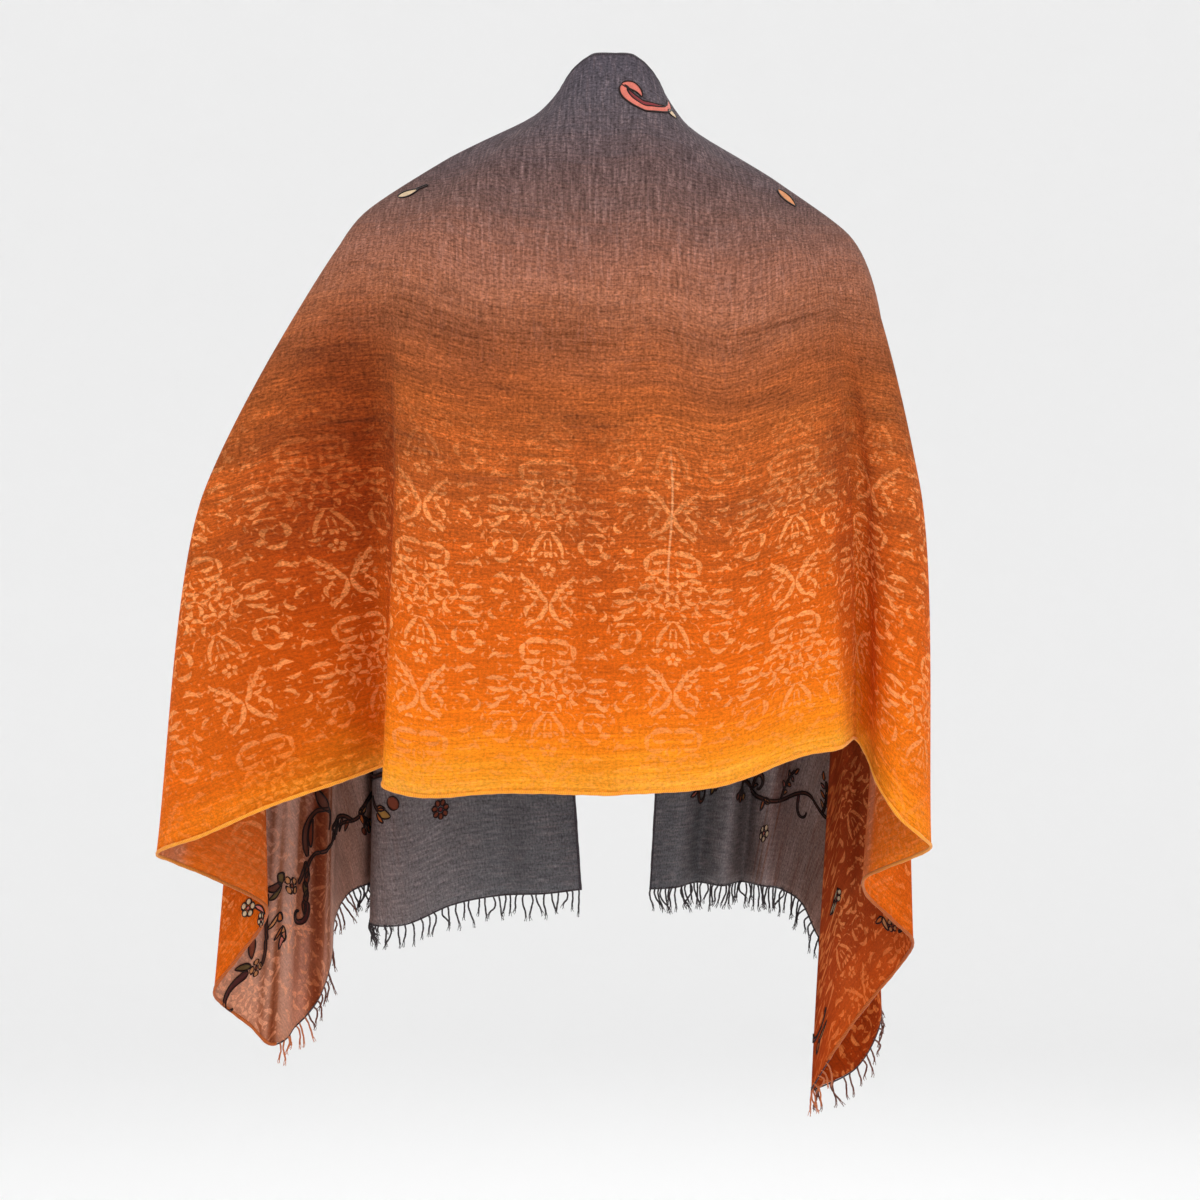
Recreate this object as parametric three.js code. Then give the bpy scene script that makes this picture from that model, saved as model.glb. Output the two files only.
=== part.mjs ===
// An embroidered stole, worn over the shoulders and seen as it hangs there, with no wearer.
//
// The cloth is one rectangle. It is described by hang lines: each starts at the collar, crosses the
// shoulder and falls to the stole's edge. A hang line is named by its edge distance e, in millimetres
// along the cloth's own edge from the middle of the back: 0 to 900 is the lower hem, 900 to 1600 the
// fringed end. Lengths are millimetres. The wearer faces +Y, their left is -X here, +Z is up.
import * as THREE from 'three';

// ---- The cloth -----------------------------------------------------------------------------------
const CLOTH = { halfLength: 900, width: 700, thickness: 1.6 };
const END_OF_EDGE = CLOTH.halfLength + CLOTH.width;
const SEAM_GAP = 0.3;
const EDGE_GAP = 0.5;            // beside hems and headings, which follow the twisting edge
const FALL_SOFTNESS = 0.72;      // how roundly a hang line bends at the shoulder and elbow
const MID_SHARE = 0.45;          // where a hang line's middle point lies, between shoulder and edge

// ---- The yoke: sections from the collar over the shoulder, round the neck from nape to front edge --
// w: distance along the shoulder ring from the middle of the back. For each ring: x, y, z and the
// cloth coordinates s (along the length) and t (across the width, 0 at the upper edge).
const YOKE_COLUMNS = ['w', 'x', 'y', 'z', 's', 't'];
const YOKE_RINGS = {
  collar: [
    [0, 0, -46, 53, 0, 0],
    [110, 20, -43, 51, 22, 0],
    [200, 38, -29, 36, 48, 0],
    [260, 49, -2, 20, 78, 0],
    [325, 53, 24, 10, 102, 0],
    [385, 52, 42, 0, 120, 0],
    [442, 48, 55, -10, 135, 0],
  ],
  root: [
    [0, 0, -60, 8, 0, 54],
    [110, 32, -54, 8, 32, 53],
    [200, 54, -36, 6, 62, 45],
    [260, 66, -5, 5, 95, 28],
    [325, 62, 28, -2, 118, 14],
    [385, 56, 48, -12, 136, 5],
    [442, 52, 62, -22, 152, 0],
  ],
  slope: [
    [0, 0, -88, -55, 0, 118],
    [110, 60, -83, -48, 60, 116],
    [200, 112, -60, -42, 114, 105],
    [260, 150, -10, -40, 158, 78],
    [325, 125, 40, -38, 182, 45],
    [385, 88, 68, -50, 196, 20],
    [442, 58, 82, -62, 202, 0],
  ],
  tip: [
    [0, 0, -120, -168, 0, 232],
    [110, 108, -118, -160, 110, 232],
    [200, 192, -82, -128, 198, 222],
    [260, 222, -6, -86, 252, 160],
    [325, 196, 60, -96, 288, 98],
    [385, 134, 88, -118, 300, 45],
    [442, 66, 98, -135, 298, 0],
  ],
};

// ---- The fall: one row for each fold edge, valley or bend of the hanging cloth ---------------------
// e: edge distance, w: where the line leaves the shoulder ring, x y z: where it ends, on the edge.
const FALL_COLUMNS = ['e', 'w', 'x', 'y', 'z'];
const LEFT_FALL = [
  [0, 0, 0, -138, -600],          // middle of the back
  [100, 100, -100, -141, -598],
  [165, 150, -168, -143, -601],
  [205, 176, -198, -136, -592],   // fold edge of the back panel
  [235, 186, -188, -105, -582],
  [275, 196, -194, -66, -577],    // valley beside it
  [325, 206, -233, -90, -590],
  [395, 218, -300, -105, -613],
  [455, 230, -356, -88, -638],
  [515, 242, -403, -52, -658],    // outer fold, below the elbow
  [545, 248, -394, -24, -666],
  [590, 252, -354, 2, -686],
  [645, 256, -313, 26, -714],     // inner fold of the cascade
  [668, 259, -318, 46, -728],
  [715, 262, -343, 62, -762],
  [762, 265, -367, 76, -797],     // second outer fold
  [785, 268, -362, 96, -808],
  [835, 271, -340, 110, -828],
  [900, 275, -315, 126, -849],    // lower corner
  [935, 278, -299, 143, -836],
  [975, 281, -278, 136, -812],    // soft tube beside the corner
  [1025, 284, -265, 150, -774],
  [1070, 287, -263, 168, -736],
  [1105, 290, -252, 172, -714],
  [1145, 294, -235, 172, -704],
  [1210, 300, -224, 222, -712],   // pleat that stands forward
  [1240, 304, -208, 218, -720],
  [1320, 310, -228, 148, -735],
  [1350, 316, -222, 128, -738],
  [1385, 325, -195, 124, -737],
  [1440, 350, -150, 132, -719],
  [1500, 385, -104, 156, -712],
  [1555, 415, -62, 128, -708],
  [1600, 442, -28, 140, -705],    // upper corner, at the middle of the front
];
const RIGHT_FALL = [
  [0, 0, 0, -138, -600],
  [100, 100, 100, -140, -590],
  [165, 150, 163, -142, -566],
  [208, 180, 196, -136, -560],    // fold edge of the back panel
  [235, 192, 204, -108, -557],
  [280, 202, 215, -64, -556],     // valley beside it
  [310, 207, 223, -70, -569],
  [340, 212, 232, -91, -595],
  [370, 222, 248, -106, -621],
  [400, 232, 270, -92, -640],
  [435, 240, 281, -58, -652],     // outer fold, below the arm
  [465, 246, 270, -25, -662],
  [510, 250, 246, 15, -676],
  [560, 254, 229, 45, -690],      // inner fold of the cascade
  [585, 257, 233, 65, -702],
  [635, 261, 258, 88, -728],
  [690, 265, 281, 108, -754],     // second outer fold
  [720, 268, 277, 130, -768],
  [785, 271, 251, 140, -802],
  [900, 276, 206, 146, -866],     // lower corner
  [940, 279, 190, 152, -895],
  [970, 281, 195, 163, -896],
  [1020, 284, 234, 172, -877],
  [1090, 287, 256, 178, -815],    // fold behind the corner
  [1110, 290, 250, 192, -800],
  [1175, 295, 200, 186, -758],
  [1220, 300, 181, 172, -721],
  [1260, 306, 163, 152, -707],
  [1320, 318, 140, 122, -700],
  [1370, 332, 124, 168, -700],
  [1430, 355, 103, 122, -700],
  [1480, 378, 82, 162, -700],
  [1540, 410, 60, 126, -702],
  [1600, 442, 36, 144, -705],
];

// How far the arm inside pushes the cloth out at its middle height, and where round the ring.
const ARMS = {
  left: { push: 62, centre: 238, spread: 34, lift: 12 },
  right: { push: 32, centre: 238, spread: 34, lift: 30 },
};
// The right shoulder sits a little lower and narrower than the left.
const RIGHT_SHOULDER = {
  drop: 19, dropFrom: 30, dropTo: 100, narrowing: 10, narrowFrom: 120, narrowTo: 222,
};

// ---- Splines ---------------------------------------------------------------------------------------
function toTable(columns, rows) {
  return rows.map((row) => Object.fromEntries(columns.map((name, i) => [name, row[i]])));
}

// Smooth curve through a table's rows, with one column as its knots (cubic Hermite, secant slopes).
// softness 1 rounds the curve fully at each row, less keeps the stretches between rows straighter.
function splineThrough(table, knot, names, softness = 1) {
  const knots = table.map((row) => row[knot]);
  const last = knots.length - 1;
  const slopes = names.map((name) => table.map((row, i) => {
    const before = Math.max(i - 1, 0);
    const after = Math.min(i + 1, last);
    const slope = (a, b) => (table[b][name] - table[a][name]) / (knots[b] - knots[a]);
    if (i === 0 || i === last) return slope(before, after);
    const left = knots[i] - knots[before];
    const right = knots[after] - knots[i];
    return (slope(before, i) * right + slope(i, after) * left) / (left + right);
  }));
  return (x) => {
    let i = 0;
    while (i < last - 1 && x > knots[i + 1]) i += 1;
    const span = knots[i + 1] - knots[i];
    const [a, b, c, d] = hermiteWeights(Math.min(Math.max((x - knots[i]) / span, 0), 1));
    const reach = span * softness;
    return names.map((name, n) => (
      a * table[i][name] + b * reach * slopes[n][i] + c * table[i + 1][name] + d * reach * slopes[n][i + 1]
    ));
  };
}

function hermiteWeights(u) {
  const u2 = u * u;
  const u3 = u2 * u;
  return [2 * u3 - 3 * u2 + 1, u3 - 2 * u2 + u, 3 * u2 - 2 * u3, u3 - u2];
}

function smoothStep(low, high, x) {
  const u = Math.min(Math.max((x - low) / (high - low), 0), 1);
  return u * u * (3 - 2 * u);
}

// ---- The surface -----------------------------------------------------------------------------------
const RING_NAMES = ['collar', 'root', 'slope', 'tip'];
const YOKE_SPLINES = RING_NAMES.map((name) => (
  splineThrough(toTable(YOKE_COLUMNS, YOKE_RINGS[name]), 'w', ['x', 'y', 'z', 's', 't'])
));
const FALL_SPLINES = {
  left: splineThrough(toTable(FALL_COLUMNS, LEFT_FALL), 'e', ['w', 'x', 'y', 'z']),
  right: splineThrough(toTable(FALL_COLUMNS, RIGHT_FALL), 'e', ['w', 'x', 'y', 'z']),
};

// Cloth coordinates of a point on the cloth's edge, for one half.
function edgeCloth(e) {
  if (e <= CLOTH.halfLength) return [e, CLOTH.width];
  return [CLOTH.halfLength, END_OF_EDGE - e];
}

// The yoke's points of one half, mirrored and made a little narrower and lower on the right.
function yokePoints(side, w) {
  return YOKE_SPLINES.map((spline) => {
    const [x, y, z, s, t] = spline(w);
    if (side === 'left') return { at: [-x, y, z], cloth: [-s, t] };
    const { drop, dropFrom, dropTo, narrowing, narrowFrom, narrowTo } = RIGHT_SHOULDER;
    const lowered = z - drop * smoothStep(dropFrom, dropTo, x);
    return { at: [x - narrowing * smoothStep(narrowFrom, narrowTo, x), y, lowered], cloth: [s, t] };
  });
}

// The six points that one hang line passes: four on the yoke, its middle and its end on the edge.
function hangLine(edgeDistance) {
  const side = edgeDistance < 0 ? 'left' : 'right';
  const sign = side === 'left' ? -1 : 1;
  const e = Math.abs(edgeDistance);
  const [w, ...end] = FALL_SPLINES[side](e);
  const points = yokePoints(side, w);
  const tip = points[points.length - 1];
  const [s, t] = edgeCloth(e);
  const arm = ARMS[side];
  const share = Math.exp(-(((w - arm.centre) / arm.spread) ** 2));
  const middle = [0, 1, 2].map((i) => tip.at[i] + MID_SHARE * (end[i] - tip.at[i]));
  middle[0] += sign * arm.push * share;
  middle[2] += arm.lift * share;
  const cloth = [0, 1].map((i) => tip.cloth[i] + MID_SHARE * ([sign * s, t][i] - tip.cloth[i]));
  points.push({ at: middle, cloth });
  points.push({ at: end, cloth: [sign * s, t] });
  return points;
}

// A point of the middle surface: v runs 0 to 3 down the yoke, 3 to 4 to the middle, 4 to 5 to the edge.
function clothPoint(edgeDistance, v) {
  const points = hangLine(edgeDistance);
  let knot = 0;
  const table = points.map((point, i) => {
    if (i) knot += Math.hypot(...point.at.map((value, k) => value - points[i - 1].at[k]));
    return { knot, x: point.at[0], y: point.at[1], z: point.at[2], s: point.cloth[0], t: point.cloth[1] };
  });
  const i = Math.min(Math.floor(v), points.length - 2);
  const at = table[i].knot + (v - i) * (table[i + 1].knot - table[i].knot);
  return splineThrough(table, 'knot', ['x', 'y', 'z', 's', 't'], FALL_SOFTNESS)(at);
}

// ---- Frames on the surface -------------------------------------------------------------------------
const STEP = { edge: 1.5, fall: 0.004 };    // half steps for the surface's directions
const FALL_END = 5;

function toVector(values) {
  return new THREE.Vector3(values[0], values[1], values[2]);
}

// Point, unit directions along the edge and down the hang line, and the outward normal.
function surfaceFrame(e, v) {
  const before = toVector(clothPoint(Math.max(e - STEP.edge, -END_OF_EDGE), v));
  const after = toVector(clothPoint(Math.min(e + STEP.edge, END_OF_EDGE), v));
  const above = toVector(clothPoint(e, Math.max(v - STEP.fall, 0)));
  const below = toVector(clothPoint(e, Math.min(v + STEP.fall, FALL_END)));
  const along = after.sub(before).normalize();
  const down = below.sub(above).normalize();
  const out = new THREE.Vector3().crossVectors(down, along).normalize();
  return { point: toVector(clothPoint(e, v)), along, down, out };
}

// Direction out of the cloth across its own edge, in the cloth's plane. At a lower corner it is the
// mitre of the two edges that meet there, so that trims from both sides meet on one line.
function acrossEdge(e, out) {
  const corner = CLOTH.halfLength;
  if (Math.abs(e) === corner) {
    const [a, b] = [acrossEdge(e - 1, out), acrossEdge(e + 1, out)];
    return a.clone().add(b).divideScalar(1 + a.dot(b));
  }
  const [low, high] = Math.abs(e) < corner ? [-corner, corner]
    : (e > 0 ? [corner, END_OF_EDGE] : [-END_OF_EDGE, -corner]);
  const before = toVector(clothPoint(Math.max(e - STEP.edge, low), FALL_END));
  const after = toVector(clothPoint(Math.min(e + STEP.edge, high), FALL_END));
  return new THREE.Vector3().crossVectors(after.sub(before), out).normalize();
}

// How far the surface moves for each millimetre of edge distance, on one side of e.
function spread(e, towards, v) {
  const near = toVector(clothPoint(e, v));
  const far = toVector(clothPoint(e + towards * 2 * STEP.edge, v));
  return near.distanceTo(far) / (2 * STEP.edge);
}

// A grid station: column { e, shift } moved along the surface, row { v, drop, trim } moved down the hang
// line, or in from the cloth's edge by trim.
function stationAt(column, row) {
  const shift = column.shift ?? 0;
  const e = shift ? column.e + shift / spread(column.e, Math.sign(shift), row.v) : column.e;
  const frame = surfaceFrame(column.e, row.v);
  frame.point = toVector(clothPoint(e, row.v)).addScaledVector(frame.down, row.drop ?? 0);
  if (row.trim !== undefined) {
    frame.across = acrossEdge(column.e, frame.out);
    frame.point.addScaledVector(frame.across, -row.trim);
  }
  return frame;
}

// ---- Closed bodies ---------------------------------------------------------------------------------
function bodyFrom(points, triangles) {
  const geometry = new THREE.BufferGeometry();
  const values = points.flatMap((point) => point.toArray());
  geometry.setAttribute('position', new THREE.Float32BufferAttribute(values, 3));
  geometry.setIndex(triangles);
  geometry.computeVertexNormals();
  return geometry;
}

function quad(triangles, a, b, c, d) {
  triangles.push(a, b, c, a, c, d);
}

// A wall of cloth over a grid of columns and rows: outer and inner faces, closed round its four sides.
// rise moves the whole wall out from the middle surface.
function wall(columns, rows, thickness, rise = 0) {
  const stations = columns.flatMap((column) => rows.map((row) => stationAt(column, row)));
  const layer = (height) => stations.map(({ point, out }) => point.clone().addScaledVector(out, height));
  const points = [...layer(rise + thickness / 2), ...layer(rise - thickness / 2)];
  const inner = stations.length;
  const at = (i, j) => i * rows.length + j;
  const triangles = [];
  const lastColumn = columns.length - 1;
  const lastRow = rows.length - 1;
  for (let i = 0; i < lastColumn; i += 1) {
    for (let j = 0; j < lastRow; j += 1) {
      const [a, b, c, d] = [at(i, j), at(i, j + 1), at(i + 1, j + 1), at(i + 1, j)];
      quad(triangles, a, b, c, d);
      quad(triangles, d + inner, c + inner, b + inner, a + inner);
    }
    quad(triangles, at(i, 0), at(i + 1, 0), at(i + 1, 0) + inner, at(i, 0) + inner);
    quad(triangles, at(i, lastRow), at(i, lastRow) + inner, at(i + 1, lastRow) + inner, at(i + 1, lastRow));
  }
  for (let j = 0; j < lastRow; j += 1) {
    quad(triangles, at(0, j), at(0, j) + inner, at(0, j + 1) + inner, at(0, j + 1));
    const [top, bottom] = [at(lastColumn, j), at(lastColumn, j + 1)];
    quad(triangles, top, bottom, bottom + inner, top + inner);
  }
  return bodyFrom(points, triangles);
}

// ---- Grids -----------------------------------------------------------------------------------------
const HEM = { width: 3, thickness: 2 };
const HEADING = { width: 4, thickness: 1.2 };
const FALL_ROWS = [3, 3.3, 3.6, 3.85, 4.05, 4.25, 4.45, 4.65, 4.82, 4.96];
const YOKE_ROWS = [0, 0.5, 1, 1.4, 1.8, 2.2, 2.6, 3];
const COLUMN_PITCH = 21;
const YOKE_PITCH = { side: 7, back: 19 };    // least spacing of the yoke's columns round the ring
const SHOULDER_FROM = 190;
const END_PITCH = 18;                        // and beside the front edges, where the collar is narrow

// Columns between two edge distances, a seam gap's half inside each, or set in by a hem at the end.
function columnsBetween(from, to) {
  const count = Math.max(Math.round(Math.abs(to - from) / COLUMN_PITCH), 2);
  const columns = Array.from({ length: count + 1 }, (_, i) => ({ e: from + ((to - from) * i) / count }));
  columns[0].shift = setIn(from);
  columns[count].shift = -setIn(to);
  return columns;
}

function setIn(e) {
  return Math.abs(e) === END_OF_EDGE ? HEM.width + SEAM_GAP : SEAM_GAP / 2;
}

function fallRows(trim) {
  return [
    { v: FALL_ROWS[0], drop: SEAM_GAP / 2 },
    ...FALL_ROWS.slice(1).map((v) => ({ v })),
    { v: FALL_END, trim: trim + EDGE_GAP },
  ];
}

// The yoke takes as many of the fall's columns as its own shorter length needs.
function yokeColumns() {
  const edges = STRETCHES.flatMap(({ from, to }) => columnsBetween(from, to).slice(1).map(({ e }) => e));
  const kept = [{ e: -END_OF_EDGE, shift: HEM.width + SEAM_GAP }];
  let lastRound = ringDistance(-END_OF_EDGE);
  for (const e of edges.slice(0, -1)) {
    const round = ringDistance(e);
    const pitch = Math.abs(round) > SHOULDER_FROM ? YOKE_PITCH.side : YOKE_PITCH.back;
    if (round - lastRound >= (kept.length > 1 ? pitch : END_PITCH)
      && ringDistance(END_OF_EDGE) - round >= END_PITCH) {
      kept.push({ e });
      lastRound = round;
    }
  }
  return [...kept, { e: END_OF_EDGE, shift: -HEM.width - SEAM_GAP }];
}

// Signed distance round the shoulder ring at which a hang line leaves it.
function ringDistance(e) {
  const [w] = FALL_SPLINES[e < 0 ? 'left' : 'right'](Math.abs(e));
  return e < 0 ? -w : w;
}

function yokeRows() {
  const rows = YOKE_ROWS.map((v) => ({ v }));
  rows[0].drop = HEM.width + SEAM_GAP;
  rows[rows.length - 1].drop = -SEAM_GAP / 2;
  return rows;
}

// ---- Fringe ----------------------------------------------------------------------------------------
const FRINGE = {
  strands: 70, strandWidth: 1.6, length: 23, uneven: 0.12, taper: 0.8, sway: 2.2,
  out: 0.45,       // share of a strand's length that leaves with the cloth, before it turns down
  droop: 0.1,      // share of the length that it has come down by then
  endGap: 1,       // beside the upper corner
};

// A heading strip along the cloth's end, with one strand grown from its lower face at each pitch.
function fringe(side) {
  const sign = side === 'left' ? -1 : 1;
  const pitch = CLOTH.width / FRINGE.strands;
  const points = [];
  const triangles = [];
  const addSection = (frame, top) => {
    const half = HEADING.thickness / 2;
    const corner = (inset, height) => frame.point.clone().addScaledVector(frame.across, inset)
      .addScaledVector(frame.out, height);
    points.push(corner(top, half), corner(top, -half), corner(0, half), corner(0, -half));
    return points.length - 4;
  };
  const marks = [];
  for (let k = 0; k < FRINGE.strands; k += 1) {
    const middle = CLOTH.halfLength + (k + 0.5) * pitch;
    marks.push(middle - FRINGE.strandWidth / 2, middle + FRINGE.strandWidth / 2);
  }
  const ends = [CLOTH.halfLength + SEAM_GAP, ...marks, END_OF_EDGE - FRINGE.endGap];
  const edges = (sign > 0 ? ends : ends.map((e) => -e).reverse());
  const guide = guideAlong(STRETCHES.find(({ name }) => name === `${side}_front`));
  const sections = edges.map((e) => addSection(guide(e), -HEADING.width));
  const first = sections[0];
  quad(triangles, first, first + 1, first + 3, first + 2);
  const last = sections[sections.length - 1];
  quad(triangles, last, last + 2, last + 3, last + 1);
  for (let k = 0; k < sections.length - 1; k += 1) {
    const [a, b] = [sections[k], sections[k + 1]];
    quad(triangles, a, a + 2, b + 2, b);
    quad(triangles, b + 1, b + 3, a + 3, a + 1);
    quad(triangles, a, b, b + 1, a + 1);
    const base = [a + 2, a + 3, b + 3, b + 2];
    if (k % 2 === 0) quad(triangles, ...base);
    else growStrand(points, triangles, base, strandPath(guide(edges[k]).across, k));
  }
  return bodyFrom(points, triangles);
}

// The straight stretches between a wall's columns at the cloth's edge, as frames at any edge distance.
function guideAlong({ from, to }) {
  const stations = columnsBetween(from, to).map(({ e }) => (
    { e, ...stationAt({ e }, { v: FALL_END, trim: 0 }) }
  ));
  return (e) => {
    const after = Math.max(stations.findIndex((station) => station.e >= e), 1);
    const [a, b] = [stations[after - 1], stations[after]];
    const share = (e - a.e) / (b.e - a.e);
    const between = (name) => a[name].clone().lerp(b[name], share);
    return { point: between('point'), across: between('across'), out: between('out') };
  };
}

// Offsets of a strand's sections from its root: it leaves with the cloth and turns down. Strands swing
// and differ in length by waves whose steps never fall in with one another.
function strandPath(across, k) {
  const swing = FRINGE.sway * (Math.sin(k * 1.7) + 0.6 * Math.sin(k * 0.61));
  const length = FRINGE.length * (1 + FRINGE.uneven * Math.sin(k * 2.3));
  const half = across.clone().multiplyScalar(length * FRINGE.out);
  half.z -= length * FRINGE.droop;
  const tip = half.clone().add(new THREE.Vector3(swing, swing / 2, -length * (1 - FRINGE.out)));
  return [{ offset: half, size: 1 }, { offset: tip, size: FRINGE.taper }];
}

function growStrand(points, triangles, base, path) {
  const centre = base.reduce((sum, i) => sum.add(points[i]), new THREE.Vector3()).multiplyScalar(0.25);
  let ring = base;
  for (const { offset, size } of path) {
    const next = base.map((i) => {
      const fromCentre = points[i].clone().sub(centre).multiplyScalar(size);
      points.push(centre.clone().add(offset).add(fromCentre));
      return points.length - 1;
    });
    for (let side = 0; side < 4; side += 1) {
      const following = (side + 1) % 4;
      quad(triangles, ring[side], ring[following], next[following], next[side]);
    }
    ring = next;
  }
  quad(triangles, ...ring);
}

// ---- The stole -------------------------------------------------------------------------------------
const COLOURS = {
  grey: 0x6b6268, brown: 0x8a5a44, rust: 0xb45a26, orange: 0xd8701e, gold: 0xf39a26, thread: 0x4a3436,
};
const stole = new THREE.Group();

function addPiece(name, geometry, colour, roughness) {
  const material = new THREE.MeshStandardMaterial({ color: colour, roughness, metalness: 0 });
  const mesh = new THREE.Mesh(geometry, material);
  mesh.name = name;
  stole.add(mesh);
}

// Stretches of the fall, from the left front round the back to the right front, by edge distance.
// trim: how wide the hem or heading is that runs along the stretch's edge.
const CORNER = CLOTH.halfLength;
const STRETCHES = [
  { name: 'left_front', from: -END_OF_EDGE, to: -CORNER, colour: COLOURS.brown, trim: HEADING.width },
  { name: 'left_cascade', from: -CORNER, to: -515, colour: COLOURS.orange, trim: HEM.width },
  { name: 'left_back', from: -515, to: -205, colour: COLOURS.rust, trim: HEM.width },
  { name: 'back_panel', from: -205, to: 208, colour: COLOURS.rust, trim: HEM.width },
  { name: 'right_back', from: 208, to: 435, colour: COLOURS.rust, trim: HEM.width },
  { name: 'right_cascade', from: 435, to: CORNER, colour: COLOURS.orange, trim: HEM.width },
  { name: 'right_front', from: CORNER, to: END_OF_EDGE, colour: COLOURS.brown, trim: HEADING.width },
];

function addCloth() {
  const yoke = wall(yokeColumns(), yokeRows(), CLOTH.thickness);
  addPiece('neck_and_shoulders', yoke, COLOURS.grey, 0.9);
  for (const { name, from, to, colour, trim } of STRETCHES) {
    addPiece(name, wall(columnsBetween(from, to), fallRows(trim), CLOTH.thickness), colour, 0.9);
  }
}

function addHems() {
  const hemmed = STRETCHES.filter(({ trim }) => trim === HEM.width);
  const lower = hemmed.flatMap(({ from, to }, i) => (
    columnsBetween(from, to).slice(i === 0 ? 0 : 1).map(({ e }) => ({ e }))
  ));
  lower[0].shift = SEAM_GAP / 2;
  lower[lower.length - 1].shift = -SEAM_GAP / 2;
  const lowerRows = [{ v: FALL_END, trim: HEM.width }, { v: FALL_END, trim: 0 }];
  addPiece('lower_hem', wall(lower, lowerRows, HEM.thickness), COLOURS.gold, 0.85);
  const end = END_OF_EDGE;
  const neck = yokeColumns();
  const neckRows = [{ v: 0 }, { v: 0, drop: HEM.width }];
  addPiece('upper_hem_neck', wall(neck, neckRows, HEM.thickness), COLOURS.grey, 0.85);
  const frontRows = [{ v: 0, drop: HEM.width + SEAM_GAP }, ...YOKE_ROWS.slice(1).map((v) => ({ v })),
    ...FALL_ROWS.slice(1).map((v) => ({ v })), { v: FALL_END, trim: HEADING.width + EDGE_GAP }];
  const rightEdge = [{ e: end, shift: -HEM.width }, { e: end }];
  const leftEdge = [{ e: -end }, { e: -end, shift: HEM.width }];
  addPiece('upper_hem_right', wall(rightEdge, frontRows, HEM.thickness), COLOURS.grey, 0.85);
  addPiece('upper_hem_left', wall(leftEdge, frontRows, HEM.thickness), COLOURS.grey, 0.85);
}

function addFringes() {
  addPiece('left_fringe', fringe('left'), COLOURS.thread, 0.9);
  addPiece('right_fringe', fringe('right'), COLOURS.thread, 0.9);
}

addCloth();
addHems();
addFringes();

export default stole;
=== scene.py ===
"""The looks of an embroidered stole that hangs as it is worn, over the shoulders and in no one's hands.

The cloth is one woven rectangle, dyed from smoke grey at its upper edge to golden orange at its hem,
with damask figures woven into the orange and a floral vine embroidered near each fringed end.
Shapes are worked out in millimetres, in the part's own frame, and put into the meshes in metres.
"""
import logging
import math
from dataclasses import dataclass, field, replace
from enum import Enum
from functools import reduce
from typing import Callable, Optional, Sequence, Union

import bpy
import numpy as np
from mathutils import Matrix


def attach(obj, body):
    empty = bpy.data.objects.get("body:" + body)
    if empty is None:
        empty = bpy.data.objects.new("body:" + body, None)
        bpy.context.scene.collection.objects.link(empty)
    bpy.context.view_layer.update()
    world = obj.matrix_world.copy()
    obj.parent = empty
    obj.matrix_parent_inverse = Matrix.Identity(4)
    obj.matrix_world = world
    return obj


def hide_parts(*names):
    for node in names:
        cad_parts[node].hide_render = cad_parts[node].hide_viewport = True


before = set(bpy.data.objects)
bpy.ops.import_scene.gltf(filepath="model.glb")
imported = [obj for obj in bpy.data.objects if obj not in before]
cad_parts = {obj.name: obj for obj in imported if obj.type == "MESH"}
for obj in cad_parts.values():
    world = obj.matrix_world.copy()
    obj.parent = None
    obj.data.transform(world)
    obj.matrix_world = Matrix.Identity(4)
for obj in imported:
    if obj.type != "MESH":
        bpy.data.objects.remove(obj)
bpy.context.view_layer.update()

LOG = logging.getLogger("stole")
MM = 0.001
TINY = 1e-6                      # a slope too small to divide by
Array = np.ndarray
Table = Sequence[Sequence[float]]
Pair = tuple[float, float]
Triple = tuple[float, float, float]
Colour = tuple[float, float, float, float]
Socket = bpy.types.NodeSocket
Outputs = bpy.types.NodeOutputs
Node = bpy.types.Node
Tree = bpy.types.NodeTree
Material = bpy.types.Material
Piece = bpy.types.Object
Value = Union[Socket, float, Sequence[float]]     # what a shader node's input takes

# ---- The cut and the drape --------------------
HALF_LENGTH = 900.0
WIDTH = 700.0
END_OF_EDGE = HALF_LENGTH + WIDTH
YOKE_END = 3.0                  # v where the yoke passes into the fall
FALL_END = 5.0                  # v at the cloth's edge
FALL_SOFTNESS = 0.72
MID_SHARE = 0.45

# Columns: w round the shoulder ring, x, y, z, then the cloth coordinates s along and t across.
YOKE_RINGS = {
    "collar": [
        [0, 0, -46, 53, 0, 0], [110, 20, -43, 51, 22, 0], [200, 38, -29, 36, 48, 0],
        [260, 49, -2, 20, 78, 0], [325, 53, 24, 10, 102, 0], [385, 52, 42, 0, 120, 0],
        [442, 48, 55, -10, 135, 0],
    ],
    "root": [
        [0, 0, -60, 8, 0, 54], [110, 32, -54, 8, 32, 53], [200, 54, -36, 6, 62, 45],
        [260, 66, -5, 5, 95, 28], [325, 62, 28, -2, 118, 14], [385, 56, 48, -12, 136, 5],
        [442, 52, 62, -22, 152, 0],
    ],
    "slope": [
        [0, 0, -88, -55, 0, 118], [110, 60, -83, -48, 60, 116], [200, 112, -60, -42, 114, 105],
        [260, 150, -10, -40, 158, 78], [325, 125, 40, -38, 182, 45], [385, 88, 68, -50, 196, 20],
        [442, 58, 82, -62, 202, 0],
    ],
    "tip": [
        [0, 0, -120, -168, 0, 232], [110, 108, -118, -160, 110, 232], [200, 192, -82, -128, 198, 222],
        [260, 222, -6, -86, 252, 160], [325, 196, 60, -96, 288, 98], [385, 134, 88, -118, 300, 45],
        [442, 66, 98, -135, 298, 0],
    ],
}
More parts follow.
